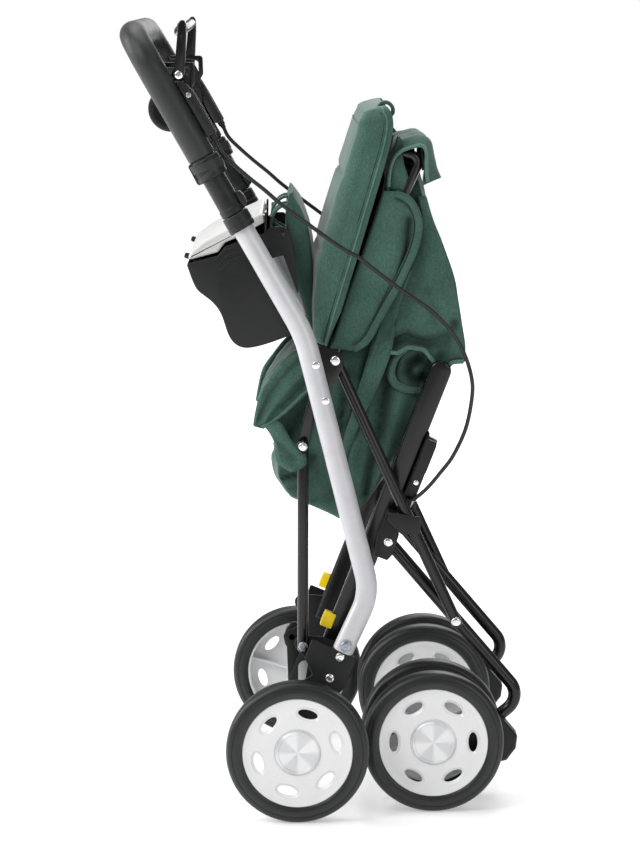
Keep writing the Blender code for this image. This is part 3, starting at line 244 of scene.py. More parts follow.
def add_node(tree, kind, settings=None, links=None):
    """Node with its settings and inputs filled in, and linked from other nodes' outputs."""
    node = tree.nodes.new(kind)
    settings = dict(settings or {})
    for key in [key for key in settings if hasattr(node, str(key))]:
        setattr(node, key, settings.pop(key))
    for key, value in settings.items():
        node.inputs[key].default_value = value
    for key, (source, output) in (links or {}).items():
        tree.links.new(source.outputs[output], node.inputs[key])
    return node


def new_material(name, settings):
    """Material with one Principled shader, and its node tree, shader and place on the piece."""
    material = bpy.data.materials.new(name)
    material.use_nodes = True
    tree = material.node_tree
    tree.nodes.clear()
    shader = add_node(tree, "ShaderNodeBsdfPrincipled", settings)
    add_node(tree, "ShaderNodeOutputMaterial", links={"Surface": (shader, "BSDF")})
    place = add_node(tree, "ShaderNodeTexCoord")
    return material, tree, shader, place


def per_metre(millimetres):
    """Texture scale at which one noise cell is that many millimetres wide."""
    return 1000 / millimetres


def noise_texture(tree, place, cell_mm, detail):
    """Noise whose cells are that many millimetres wide on the piece."""
    return add_node(
        tree, "ShaderNodeTexNoise", {"Scale": per_metre(cell_mm), "Detail": detail},
        {"Vector": (place, "Object")},
    )


def mixed_values(tree, factor, first, second):
    """Mix of two nodes' outputs, each given as (node, output)."""
    return add_node(tree, "ShaderNodeMix", {"data_type": "FLOAT", "Factor": factor}, {2: first, 3: second})


def add_bump(tree, shader, height, output, strength, distance_mm):
    """Bump from a height output on the shader's normal."""
    bump = add_node(
        tree, "ShaderNodeBump", {"Strength": strength, "Distance": distance_mm * MM},
        {"Height": (height, output)},
    )
    tree.links.new(bump.outputs["Normal"], shader.inputs["Normal"])
    return bump


def mottled(name, low, high, grain_mm, settings, bump_strength=0.0, bump_mm=0.1, rough=None):
    """Finish whose colour and roughness drift a little over its surface, with a fine grain."""
    material, tree, shader, place = new_material(name, settings)
    drift = noise_texture(tree, place, grain_mm * 14, 3.0)
    grain = noise_texture(tree, place, grain_mm, 2.0)
    both = mixed_values(tree, 0.45, (drift, "Fac"), (grain, "Fac"))
    colour = add_node(tree, "ShaderNodeValToRGB", links={"Fac": (both, 0)})
    colour.color_ramp.elements[0].position = 0.3
    colour.color_ramp.elements[0].color = linear(low)
    colour.color_ramp.elements[1].position = 0.7
    colour.color_ramp.elements[1].color = linear(high)
    tree.links.new(colour.outputs["Color"], shader.inputs["Base Color"])
    if rough:
        roughness = add_node(
            tree, "ShaderNodeMapRange",
            {"From Min": 0.3, "From Max": 0.7, "To Min": rough[0], "To Max": rough[1]},
            {"Value": (drift, "Fac")},
        )
        tree.links.new(roughness.outputs["Result"], shader.inputs["Roughness"])
    if bump_strength:
        add_bump(tree, shader, grain, "Fac", bump_strength, bump_mm)
    return material


# Powder-coated steel tube: satin silver with fine flake
silver_paint = mottled(
    "silver_powder_coat", "#bcbcbf", "#c9c9cc", 1.2,
    {"Metallic": 0.25, "Roughness": 0.42, "Coat Weight": 0.15, "Coat Roughness": 0.25}, bump_strength=0.05,
    bump_mm=0.05, rough=(0.38, 0.46),
)
# Stove-enamelled steel: deep gloss black with the faint orange peel of sprayed paint
black_paint = mottled(
    "black_enamel", "#070707", "#0c0c0d", 5.0,
    {"Roughness": 0.26, "Specular IOR Level": 0.34, "Coat Weight": 0.12, "Coat Roughness": 0.1},
    bump_strength=0.12, bump_mm=0.15, rough=(0.2, 0.3),
)
# Moulded polypropylene: black with a spark-eroded grain that breaks up its shine
black_plastic = mottled(
    "black_moulded_polypropylene", "#121313", "#1b1c1c", 0.9, {"Roughness": 0.45, "Specular IOR Level": 0.32},
    bump_strength=0.25, bump_mm=0.08, rough=(0.38, 0.5),
)
# Moulded polyurethane tyre: matt charcoal that scuffs paler
tyre_rubber = mottled(
    "tyre_rubber", "#131415", "#1a1c1d", 1.6, {"Roughness": 0.42, "Specular IOR Level": 0.5},
    bump_strength=0.15, bump_mm=0.08, rough=(0.36, 0.48),
)
# Closed-cell foam grip: soft black skin with fine pores
foam = mottled(
    "closed_cell_foam", "#121414", "#1b1d1e", 1.0,
    {"Roughness": 0.5, "Specular IOR Level": 0.5, "Sheen Weight": 0.08, "Sheen Roughness": 0.4},
    bump_strength=0.45, bump_mm=0.15, rough=(0.44, 0.58),
)
# Moulded ABS wheel: off-white satin
rim_plastic = mottled(
    "white_moulded_abs", "#e6e6e7", "#ededee", 2.0, {"Roughness": 0.34, "Coat Weight": 0.1},
    bump_strength=0.05, bump_mm=0.05, rough=(0.3, 0.38),
)
# Moulded ABS lid: pale warm grey satin
lid_plastic = mottled(
    "pale_moulded_abs", "#cbcbc9", "#d4d4d2", 2.0, {"Roughness": 0.36}, bump_strength=0.08, bump_mm=0.05,
    rough=(0.32, 0.42),
)
# Moulded nylon button: signal yellow
yellow_plastic = mottled(
    "yellow_moulded_nylon", "#f0cc06", "#f9dc10", 1.0, {"Roughness": 0.42}, bump_strength=0.15, bump_mm=0.05,
    rough=(0.36, 0.48),
)
# Nickel-chromed bolt heads: bright with faint turning marks
chrome = mottled(
    "chrome_plate", "#d8d9db", "#e6e7e8", 0.6, {"Metallic": 1.0, "Roughness": 0.16}, bump_strength=0.08,
    bump_mm=0.03, rough=(0.12, 0.22),
)
# Zinc-plated steel: bluish grey, duller than chrome
zinc = mottled(
    "zinc_plate", "#8b9198", "#a9afb6", 1.0, {"Metallic": 1.0, "Roughness": 0.33}, bump_strength=0.12,
    bump_mm=0.04, rough=(0.28, 0.42),
)
# Grey painted flat steel: satin
grey_steel = mottled(
    "grey_enamel", "#8b8c8e", "#a0a1a3", 1.5, {"Roughness": 0.4, "Metallic": 0.2}, bump_strength=0.08,
    bump_mm=0.05, rough=(0.34, 0.46),
)
# Extruded PVC cable sheath: black with a soft shine
sheath = mottled(
    "black_pvc_sheath", "#101112", "#1a1b1c", 1.2, {"Roughness": 0.38, "Specular IOR Level": 0.4},
    bump_strength=0.08, bump_mm=0.04, rough=(0.34, 0.44),
)

FABRIC_THREAD_MM = 0.9


def make_fabric(name, dark, middle, light):
    """Woven polyester in melange yarn: each thread drifts between three greens, which reads as heather; its
    colour is painted darker in folds and hollows, a painted shade.
    """
    material, tree, shader, place = new_material(
        name, {"Roughness": 0.86, "Sheen Weight": 0.3, "Sheen Roughness": 0.45, "Specular IOR Level": 0.22},
    )
    # The real thread is 0.4 mm; it is drawn at twice that so that it shows.
    yarns = []
    for stretch in ((1.0, 0.35, 0.16), (0.3, 0.16, 1.0)):
        scaled = add_node(
            tree, "ShaderNodeMapping", {"Scale": [per_metre(FABRIC_THREAD_MM) * share for share in stretch]},
            {"Vector": (place, "Object")},
        )
        yarns.append(
            add_node(
                tree, "ShaderNodeTexNoise", {"Scale": 1.0, "Detail": 2.0, "Roughness": 0.6},
                {"Vector": (scaled, "Vector")},
            )
        )
    weave = noise_texture(tree, place, FABRIC_THREAD_MM * 0.8, 1.0)
    mixed = mixed_values(tree, 0.5, (yarns[0], "Fac"), (yarns[1], "Fac"))
    speckled = mixed_values(tree, 0.35, (mixed, 0), (weave, "Fac"))
    wear = noise_texture(tree, place, 60, 3.0)
    shaded = mixed_values(tree, 0.22, (speckled, 0), (wear, "Fac"))
    colour = add_node(tree, "ShaderNodeValToRGB", links={"Fac": (shaded, 0)})
    ramp = colour.color_ramp
    ramp.elements[0].position = 0.38
    ramp.elements[0].color = linear(dark)
    ramp.elements[1].position = 0.64
    ramp.elements[1].color = linear(light)
    middle_stop = ramp.elements.new(0.5)
    middle_stop.color = linear(middle)
    # Cloth in folds and hollows is painted darker by ambient occlusion scaling its colour: a painted shade.
    painted_fold_shade = add_node(tree, "ShaderNodeAmbientOcclusion", {"Distance": 0.035})
    depth = add_node(
        tree, "ShaderNodeMapRange", {"From Min": 0.25, "From Max": 0.95, "To Min": 0.34, "To Max": 1.06},
        {"Value": (painted_fold_shade, "AO")},
    )
    deep = add_node(
        tree, "ShaderNodeVectorMath", {"operation": "SCALE"},
        {"Vector": (colour, "Color"), "Scale": (depth, "Result")},
    )
    tree.links.new(deep.outputs["Vector"], shader.inputs["Base Color"])
    add_bump(tree, shader, speckled, 0, 0.4, 0.2)
    return material


green_fabric = make_fabric("green_melange_weave", "#2b443b", "#3b594f", "#4d6e63")
# A paler copy of the green weave for piping, hems and straps: its lighter greens are a painted highlight on
# their edges.
painted_highlight_green_fabric = make_fabric("green_weave_painted_highlight", "#3c5b50", "#4f7266", "#67897e")
# A near-black green for thin lines along seams: a painted shade where the seams sink in.
seam_painted_shade_fabric = make_fabric("green_seam_painted_shade", "#14231d", "#1c3028", "#274037")


# Making pieces

def mesh_from(name, shape):
    """Mesh from a bmesh, with its faces turned outward."""
    bmesh.ops.recalc_face_normals(shape, faces=shape.faces)
    mesh = bpy.data.meshes.new(name)
    shape.to_mesh(mesh)
    shape.free()
    return mesh


def link(name, data):
    """Object of the scene from its mesh, light or camera data."""
    piece = bpy.data.objects.new(name, data)
    bpy.context.scene.collection.objects.link(piece)
    return piece


def show(name, shape, body, material, stands_for=(), edge_degrees=35.0):
    """Piece from a bmesh, smooth but for its sharp edges, that moves with a body of the frame."""
    return finish(link(name, mesh_from(name, shape)), body, material, stands_for, edge_degrees)


def finish(piece, body, material, stands_for=(), edge_degrees=35.0):
    """Gives a made piece its material, shading, body and the solids that it stands for."""
    piece.data.materials.clear()
    piece.data.materials.append(material)
    piece.data.polygons.foreach_set("use_smooth", [True] * len(piece.data.polygons))
    piece.data.set_sharp_from_angle(angle=math.radians(edge_degrees))
    if body:
        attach(piece, body)
    if stands_for:
        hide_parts(*stands_for)
    return piece


def sweep_into(shape, path, radii, sides=32, end_round=0.0):
    """Adds a round tube along a path to a bmesh; radii is one number or one for each point."""
    path = [Vector(point) for point in path]
    if not hasattr(radii, "__len__"):
        radii = [radii] * len(path)
    radii = list(radii)
    if end_round:
        first = (path[1] - path[0]).normalized()
        last = (path[-1] - path[-2]).normalized()
        start, finish_point = path[0], path[-1]
        start_radius, finish_radius = radii[0], radii[-1]
        head = [start + first * end_round * (1 - math.cos(math.pi / 2 * i / 4)) for i in range(4)]
        head_radii = [start_radius - end_round * (1 - math.sin(math.pi / 2 * i / 4)) for i in range(4)]
        tail = [
            finish_point - last * end_round * (1 - math.cos(math.pi / 2 * i / 4)) for i in reversed(range(4))
        ]
        tail_radii = [
            finish_radius - end_round * (1 - math.sin(math.pi / 2 * i / 4)) for i in reversed(range(4))
        ]
        path = [*head, start + first * end_round, *path[1:-1], finish_point - last * end_round, *tail]
        radii = [*head_radii, start_radius, *radii[1:-1], finish_radius, *tail_radii]
    normal = None
    rings = []
    for index, (point, radius) in enumerate(zip(path, radii)):
        tangent = direction_at(path, index)
        if normal is None:
            normal = tangent.orthogonal().normalized()
        normal = (normal - tangent * normal.dot(tangent)).normalized()
        binormal = tangent.cross(normal)
        ring = []
        for side in range(sides):
            angle = 2 * math.pi * side / sides
            offset = normal * math.cos(angle) + binormal * math.sin(angle)
            ring.append(shape.verts.new(point + offset * radius))
        rings.append(ring)
    closed_skin(shape, rings)


def skin(shape, rings, around=True):
    """Faces between rings of points."""
    for lower, upper in zip(rings, rings[1:]):
        count = len(lower)
        for side in range(count if around else count - 1):
            after = (side + 1) % count
            shape.faces.new((lower[side], lower[after], upper[after], upper[side]))


def closed_skin(shape, rings):
    """Faces between rings of points, and over both ends."""
    skin(shape, rings)
    shape.faces.new(rings[0])
    shape.faces.new(list(reversed(rings[-1])))


def tube(name, path, radii, body, material, stands_for=(), sides=32, end_round=0.001):
    """Round tube along a path, as a piece."""
    shape = bmesh.new()
    sweep_into(shape, path, radii, sides, end_round)
    return show(name, shape, body, material, stands_for)


def rod(name, point, near, far, radius, body, material, sides):
    """Straight round bar across the frame at a drawn point."""
    tube(name, [at(*point, near), at(*point, far)], radius, body, material, (), sides, 0.0)


def turn_into(shape, profile, centre, direction, sides=64):
    """Adds a turned form to a bmesh: profile is (radius, distance along the axis)."""
    axis = Vector(direction).normalized()
    across = axis.orthogonal().normalized()
    other = axis.cross(across)
    rings = []
    for radius, along in profile:
        middle = Vector(centre) + axis * along
        if radius < 1e-7:
            rings.append([shape.verts.new(middle)])
            continue
        ring = []
        for side in range(sides):
            angle = 2 * math.pi * side / sides
            ring.append(
                shape.verts.new(middle + (across * math.cos(angle) + other * math.sin(angle)) * radius)
            )
        rings.append(ring)
    for lower, upper in zip(rings, rings[1:]):
        if len(lower) == 1 and len(upper) == 1:
            continue
        for side in range(sides):
            after = (side + 1) % sides
            corners = [lower[side % len(lower)], lower[after % len(lower)]]
            corners += [upper[after % len(upper)], upper[side % len(upper)]]
            shape.faces.new(list(dict.fromkeys(corners)))
    return rings


def close_turned(shape, rings):
    """Joins the last ring of a turned form to its first."""
    skin(shape, [rings[-1], rings[0]])


def plate_into(shape, outline, near, far, edge=0.0008):
    """Adds a plate to a bmesh: a side-view outline carried across, with rounded rims."""
    low, high = sorted((near, far))
    edge = min(edge, (high - low) * 0.45)
    outline = [Vector(point) for point in outline]
    area = sum(a.x * b.y - b.x * a.y for a, b in zip(outline, outline[1:] + outline[:1]))
    turn = 1 if area > 0 else -1
    count = len(outline)
    inward = []
    for index in range(count):
        before = (outline[index] - outline[index - 1]).normalized()
        after = (outline[(index + 1) % count] - outline[index]).normalized()
        normal = Vector((-(before.y + after.y), before.x + after.x)) * turn
        if normal.length < 1e-6:
            normal = Vector((-after.y, after.x)) * turn
        normal.normalize()
        inward.append(normal / max(0.5, abs(normal.dot(Vector((-after.y, after.x)) * turn))))
    rings = []
    levels = []
    for angle in (0, 30, 60, 90):
        turned_by = math.radians(angle)
        levels.append((low + edge * (1 - math.sin(turned_by)), edge * (1 - math.cos(turned_by))))
    levels.reverse()
    levels += [(low + high - y, inset) for y, inset in reversed(levels)]
    for y, inset in levels:
        rings.append([
            shape.verts.new(at(p.x + n.x * inset, p.y + n.y * inset, y)) for p, n in zip(outline, inward)
        ])
    closed_skin(shape, rings)


def slab_into(shape, outline, sign, near, far, edge, corner, step=15.0):
    """Adds a plate with round corners to a bmesh; sign puts it on one side of the middle."""
    plate_into(shape, rounded(outline, corner, step, closed=True), sign * near, sign * far, edge)


def plate(name, outline, near, far, body, material, stands_for=(), edge=0.0008, corner=0.0015):
    """Plate as a piece, with its corners rounded."""
    shape = bmesh.new()
    plate_into(shape, rounded(outline, corner, 15.0, closed=True), near, far, edge)
    return show(name, shape, body, material, stands_for)


def cut_away(piece, cutter_shape):
    """Cuts a bmesh out of a piece and throws the cutter away."""
    cutter = link("cutter", mesh_from("cutter", cutter_shape))
    cutter.matrix_world = piece.matrix_world.copy()
    modifier = piece.modifiers.new("cut", "BOOLEAN")
    modifier.operation = "DIFFERENCE"
    modifier.solver = "EXACT"
    modifier.object = cutter
    depsgraph = bpy.context.evaluated_depsgraph_get()
    result = bpy.data.meshes.new_from_object(piece.evaluated_get(depsgraph))
    piece.modifiers.clear()
    piece.data = result
    bpy.data.objects.remove(cutter)
    return piece


def bolt_head(name, point, sign, y, radius, height, body, material, slots=1, turn=0.4):
    """Domed bolt head with one driving slot, or a cross of two, on the outside of a plate."""
    shape = bmesh.new()
    profile = [(radius, 0.0)]
    for index in range(7):
        angle = math.pi / 2 * index / 6
        profile.append((
            radius * math.cos(angle) ** 0.6 if index < 6 else 0.0, height * (0.25 + 0.75 * math.sin(angle)),
        ))
    turn_into(shape, profile, (0, 0, 0), (0, sign, 0), 40)
    bottom = [vert for vert in shape.verts if abs(vert.co.y) < 1e-9]
    shape.faces.new(sorted(bottom, key=lambda vert: math.atan2(vert.co.z, vert.co.x)))
    piece = link(name, mesh_from(name, shape))
    width = radius * 0.11
    depth = height * 0.5
    for index in range(slots):
        cutter = bmesh.new()
        reach = radius * (1.2 if slots == 1 else 0.55)
        corners = []
        angle = turn + index * math.pi / 2
        along = Vector((math.cos(angle), 0, math.sin(angle)))
        side = Vector((-math.sin(angle), 0, math.cos(angle)))
        for level in (height * 2 * sign, (height - depth) * sign):
            corners.append([
                cutter.verts.new(along * a * reach + side * b * width + Vector((0, level, 0)))
                for a, b in ((-1, -1), (1, -1), (1, 1), (-1, 1))
            ])
        closed_skin(cutter, corners)
        cut_away(piece, cutter)
    piece.location = at(*point, sign * y)
    return finish(piece, body, material, edge_degrees=40.0)


# Wheels

RIM_RADIUS = 0.0675
HUB_CAP_RADIUS = 0.0265
HUB_REACH = 0.0165
HUB_TUBE_RADIUS = 0.014
WINDOW_COUNT = 6
WINDOW_CIRCLE = 0.049
WINDOW_LENGTH = 0.0245
WINDOW_WIDTH = 0.0112
REAR_WINDOW_TURN = math.radians(15)


def make_hub_cap_painted_sheen():
    """Moulded ABS hub cap: eight faint sectors painted paler and darker in turn, a painted sheen for brushed
    grain catching the light.
    """
    material, tree, shader, place = new_material(
        "moulded_abs_painted_sector_sheen",
        {"Roughness": 0.32, "Metallic": 0.15, "Coat Weight": 0.2, "Coat Roughness": 0.2},
    )
    parts = add_node(tree, "ShaderNodeSeparateXYZ", links={"Vector": (place, "Object")})
    angle = add_node(tree, "ShaderNodeMath", {"operation": "ARCTAN2"}, {0: (parts, "Z"), 1: (parts, "X")})
    turned_by = add_node(tree, "ShaderNodeMath", {"operation": "MULTIPLY", 1: 4.0}, {0: (angle, "Value")})
    wave = add_node(tree, "ShaderNodeMath", {"operation": "SINE"}, {0: (turned_by, "Value")})
    colour = add_node(
        tree, "ShaderNodeMapRange", {"From Min": -0.5, "From Max": 0.5}, {"Value": (wave, "Value")},
    )
    # Sectors painted paler and darker in turn: a painted sheen.
    mixed = add_node(
        tree, "ShaderNodeMix", {"data_type": "RGBA", 6: linear("#d4d5d7"), 7: linear("#ececed")},
        {0: (colour, "Result")},
    )
    tree.links.new(mixed.outputs[2], shader.inputs["Base Color"])
    grain = noise_texture(tree, place, 0.7, 2.0)
    add_bump(tree, shader, grain, "Fac", 0.06, 0.05)
    return material


hub_cap_painted_sheen = make_hub_cap_painted_sheen()


def oval(centre, along, length, width, steps=28):
    """Closed oval in a wheel's plane."""
    across = Vector((-along.y, along.x))
    angles = [2 * math.pi * index / steps for index in range(steps)]
    return [centre + along * math.cos(a) * length / 2 + across * math.sin(a) * width / 2 for a in angles]


def make_rim_mesh(name, outward, turn):
    """Dished rim with six windows in sunk lips, and ribs on its back."""
    profile = [
        (0.0, 0.0085), (HUB_CAP_RADIUS + 0.0012, 0.0085), (HUB_CAP_RADIUS + 0.0026, 0.0098), (0.033, 0.0102),
        (0.044, 0.0106), (0.054, 0.0107), (0.06, 0.011), (0.0632, 0.0119), (0.0652, 0.0128), (0.0664, 0.0132),
        (0.0672, 0.013), (0.0675, 0.0124), (RIM_RADIUS, -0.0125), (0.0672, -0.013), (0.065, -0.013),
        (0.0645, -0.0122), (0.0628, 0.006), (0.059, 0.0074), (0.03, 0.0072), (HUB_TUBE_RADIUS + 0.001, 0.006),
        (HUB_TUBE_RADIUS, 0.005), (HUB_TUBE_RADIUS, 0.0007 - HUB_REACH),
        (HUB_TUBE_RADIUS - 0.0008, -HUB_REACH), (0.0056, -HUB_REACH), (0.0056, 0.004), (0.0, 0.004),
    ]
    shape = bmesh.new()
    turn_into(shape, profile, (0, 0, 0), (0, outward, 0), 96)
    piece = link(name, mesh_from(name, shape))
    cutters = bmesh.new()
    for index in range(WINDOW_COUNT):
        angle = turn + 2 * math.pi * index / WINDOW_COUNT
        centre = Vector((math.cos(angle), math.sin(angle))) * WINDOW_CIRCLE
        along = Vector((-math.sin(angle), math.cos(angle)))
        rings = []
        for grow, level in ((0.011, 0.014), (0.0072, 0.0108), (0.003, 0.0092), (0.0, 0.008), (-0.0004, 0.0)):
            line = oval(centre, along, WINDOW_LENGTH + grow, WINDOW_WIDTH + grow)
            rings.append([cutters.verts.new((p.x, outward * level, p.y)) for p in line])
        closed_skin(cutters, rings)
    cut_away(piece, cutters)
    ribs = bmesh.new()
    ribs.from_mesh(piece.data)
    for index in range(WINDOW_COUNT):
        angle = turn + 2 * math.pi * (index + 0.5) / WINDOW_COUNT
        along = Vector((math.cos(angle), 0, math.sin(angle)))
        side = Vector((-math.sin(angle), 0, math.cos(angle))) * 0.0011
        rings = []
        for distance, depth in (
            (HUB_TUBE_RADIUS - 0.002, -0.012), (0.03, -0.005), (0.05, -0.0035), (0.064, -0.006),
        ):
            ring = []
            for across, level in ((-1, 0.008), (1, 0.008), (1, depth), (-1, depth)):
                ring.append(
                    ribs.verts.new(along * distance + side * across + Vector((0, outward * level, 0)))
                )
            rings.append(ring)
        skin(ribs, rings)
        ribs.faces.new(list(reversed(rings[0])))
        ribs.faces.new(rings[-1])
    ribs.to_mesh(piece.data)
    ribs.free()
    mesh = piece.data
    mesh.materials.clear()
    bpy.data.objects.remove(piece)
    return mesh


def make_cap_mesh(outward):
    """Hub cap: a shallow cone in a raised ring."""
    profile = [
        (0.0, 0.0118), (0.006, 0.0118), (0.007, 0.0121), (0.0215, 0.0111), (0.0228, 0.0113), (0.0238, 0.0124),
        (0.0254, 0.0126), (0.0263, 0.0118), (HUB_CAP_RADIUS, 0.0106), (HUB_CAP_RADIUS, 0.008), (0.0, 0.008),
    ]
    shape = bmesh.new()
    turn_into(shape, profile, (0, 0, 0), (0, outward, 0), 72)
    return mesh_from("hub_cap", shape)


def make_tyre_mesh():
    """Tyre with a flat tread between rounded shoulders, a bead at the rim and a fine line round each wall."""
    half = [
        (0.0674, 0.0128), (0.0679, 0.0143), (0.069, 0.0152), (0.0706, 0.0158), (0.0728, 0.0162),
        (0.0752, 0.0162), (0.0778, 0.0158), (0.0797, 0.015), (0.0801, 0.0144), (0.0807, 0.0147),
        (0.0822, 0.0144), (0.0842, 0.0134), (0.0858, 0.0117), (0.0869, 0.0094), (0.0874, 0.0066),
        (0.0875, 0.0036), (0.0875, 0.0),
    ]
    profile = half + [(radius, -across) for radius, across in reversed(half[:-1])]
    shape = bmesh.new()
    rings = turn_into(shape, profile, (0, 0, 0), (0, 1, 0), 112)
    close_turned(shape, rings)
    return mesh_from("tyre", shape)


def put_wheel(name, point, y, outward, rim_mesh, body, nodes):
    """Wheel of tyre, rim and hub cap."""
    for part, mesh, material, stands_for in (
        ("tyre", tyre_mesh, tyre_rubber, nodes[1:]),
        ("rim", rim_mesh, rim_plastic, nodes[:1]),
        ("hub_cap", cap_meshes[outward], hub_cap_painted_sheen, ()),
    ):
        piece = link(part + "_" + name, mesh)
        piece.location = at(*point, y)
        finish(piece, body, material, stands_for, edge_degrees=32.0)


tyre_mesh = make_tyre_mesh()
cap_meshes = {outward: make_cap_mesh(outward) for outward in (-1, 1)}
rear_rims = {outward: make_rim_mesh("rear_rim_dish", outward, REAR_WINDOW_TURN) for outward in (-1, 1)}
front_rims = {outward: make_rim_mesh("front_rim_dish", outward, 0.0) for outward in (-1, 1)}
for side, sign in SIDES:
    put_wheel(
        "rear_" + side, AXLE, sign * HALF_TRACK, sign, rear_rims[sign], "rear_wheel_" + side,
        ["rear_rim_" + side, "rear_tyre_" + side],
    )
    for twin_name, twin in (("outer", 1), ("inner", -1)):
        wheel = side + "_" + twin_name
        put_wheel(
            "front_" + wheel, CASTOR_WHEEL, sign * (LEG_Y + twin * TWIN_OFFSET), sign * twin,
            front_rims[sign * twin], "front_wheel_" + wheel, ["front_rim_" + wheel, "front_tyre_" + wheel],
        )


# Frame tubes

def across_y(points, y):
    """Side-view points as points of the frame at one y."""
    return [at(x, z, y) for x, z in points]


def beyond(start, end, distance):
    """Drawn point past start, away from end."""
    start, end = Vector(start), Vector(end)
    point = start + (start - end).normalized() * distance
    return (point.x, point.y)


POST_FOOT_REACH = 0.0104
RAIL_DEPTH = 0.027
RAIL_START = 0.096
RAIL_END = 0.501
LEG_BEND = 0.0475


def make_posts():
    """Bent silver posts and the bar between them."""
    foot = beyond(POST_FOOT, POST_KNEE, POST_FOOT_REACH)
    drawn = rounded([foot, POST_KNEE, POST_WAIST, POST_TOP], [0.068, 0.15], 4.0)
    for side, sign in SIDES:
        tube(
            "post_tube_" + side, across_y(drawn, sign * POST_Y), POST_RADIUS, "post", silver_paint,
            ["post_" + side], 40, 0.003,
        )
    reach = POST_Y - POST_RADIUS
    tube(
        "post_bar", [at(-0.041, 0.68, -reach), at(-0.041, 0.68, reach)], 0.008, "post", black_paint,
        ["post_cross_bar"], 24,
    )


def make_rails():
    """Rails with half-round heads, and the tubes across the frame."""
    half = RAIL_DEPTH / 2
    outline = [rail_point(RAIL_START, -half), rail_point(RAIL_START, half)]
    top = rail_point(RAIL_END - half, 0)
    for index in range(25):
        angle = RAIL_ANGLE - math.pi / 2 + math.pi * index / 24
        outline.append((top[0] + half * math.cos(angle), top[1] + half * math.sin(angle)))
    for side, sign in SIDES:
        shape = bmesh.new()
        plate_into(shape, outline, sign * RAIL_INNER, sign * RAIL_OUTER, 0.0036)
        show("rail_bar_" + side, shape, "chassis", black_paint, ["rail_" + side])
    tube(
        "rear_bar", [at(*REAR_BAR, -RAIL_OUTER), at(*REAR_BAR, RAIL_OUTER)], REAR_BAR_RADIUS, "chassis",
        grey_steel, ["rear_cross_bar"], 28,
    )
    tube(
        "front_bar", [at(*LEG_PIVOT, -RAIL_INNER), at(*LEG_PIVOT, RAIL_INNER)], FRONT_BAR_RADIUS, "chassis",
        black_paint, ["front_cross_tube"], 24,
    )
    reach = HALF_TRACK + AXLE_STUB
    tube("axle_bar", [at(*AXLE, -reach), at(*AXLE, reach)], AXLE_RADIUS, "rear_axle", zinc, ["rear_axle"], 24)


def make_struts():
    """Round struts, rear links and legs."""
    leg_top = beyond(LEG_PIVOT, STRUT_BOLT, EYE_REACH)
    turn = math.radians(-49.4) - STEM_ANGLE
    corner = along_axis(STEM_END, STEM_ANGLE, -LEG_BEND * math.tan(turn / 2), 0)
    leg_line = rounded([leg_top, corner, STEM_END], LEG_BEND, 4.0)
    strut_line = [beyond(SEAT_PIVOT, STRUT_BOLT, EYE_REACH), beyond(STRUT_BOLT, SEAT_PIVOT, EYE_REACH)]
    link_line = [beyond(LINK_FOOT, LINK_HEAD, EYE_REACH), beyond(LINK_HEAD, LINK_FOOT, EYE_REACH)]
    for side, sign in SIDES:
        tube(
            "strut_tube_" + side, across_y(strut_line, sign * STRUT_Y), STRUT_RADIUS, "struts", black_paint,
            ["strut_" + side], 28, 0.004,
        )
        tube(
            "link_tube_" + side, across_y(link_line, sign * LINK_Y), LINK_RADIUS, "rear_links", black_paint,
            ["rear_link_" + side], 28, 0.004,
        )
        tube(
            "leg_tube_" + side, across_y(leg_line, sign * LEG_Y), LEG_RADIUS, "legs", black_paint,
            ["leg_" + side], 28, 0.004,
        )


make_posts()
make_rails()
make_struts()


# Push bar

HANDLE_LENGTH = 0.255
HANDLE_RADIUS = 0.0105
HANDLE_CORNER = 0.045
HANDLE_INSERT = 0.128
FOAM_RADIUS = 0.0172
FOAM_END = 0.0862
SLEEVE_START = 0.009
COLLAR_START = -0.012
HANDLE_AXIS = Vector((math.cos(HANDLE_ANGLE), 0, math.sin(HANDLE_ANGLE)))
LEVER_PIVOT = (-0.1421, 0.9082)
SLEEVE_PROFILE = (
    (0.0108, 0.0), (0.0148, 0.0), (0.0157, 0.0009), (0.0157, 0.0078), (0.0152, 0.0086), (0.0147, 0.0098),
    (0.0145, 0.03), (0.0145, 0.0496), (0.018, 0.0502), (0.019, 0.0512), (0.0193, 0.053), (0.0193, 0.0735),
    (0.0189, 0.075), (0.0178, 0.076), (0.0157, 0.0762), (0.0155, 0.08), (0.0155, 0.1028), (0.0148, 0.1036),
    (0.0108, 0.1036),
)
COLLAR_PROFILE = (
    (0.0133, 0.0), (0.016, 0.0), (0.0167, 0.0008), (0.0168, 0.006), (0.0163, 0.0066), (0.0163, 0.0074),
    (0.0168, 0.008), (0.0168, 0.0188), (0.016, 0.0199), (0.0111, 0.0199), (0.0111, 0.0125), (0.0133, 0.0125),
)


def turned(name, profile, centre, direction, body, material, stands_for=(), sides=56):
    """Hollow turned piece: the profile is a closed loop of (radius, distance along the axis)."""
    shape = bmesh.new()
    rings = turn_into(shape, profile, centre, direction, sides)
    close_turned(shape, rings)
    return show(name, shape, body, material, stands_for)


def solid_turned(name, profile, centre, direction, body, material, stands_for=(), sides=48):
    """Solid turned piece: the profile starts and ends on the axis."""
    shape = bmesh.new()
    turn_into(shape, profile, centre, direction, sides)
    return show(name, shape, body, material, stands_for)


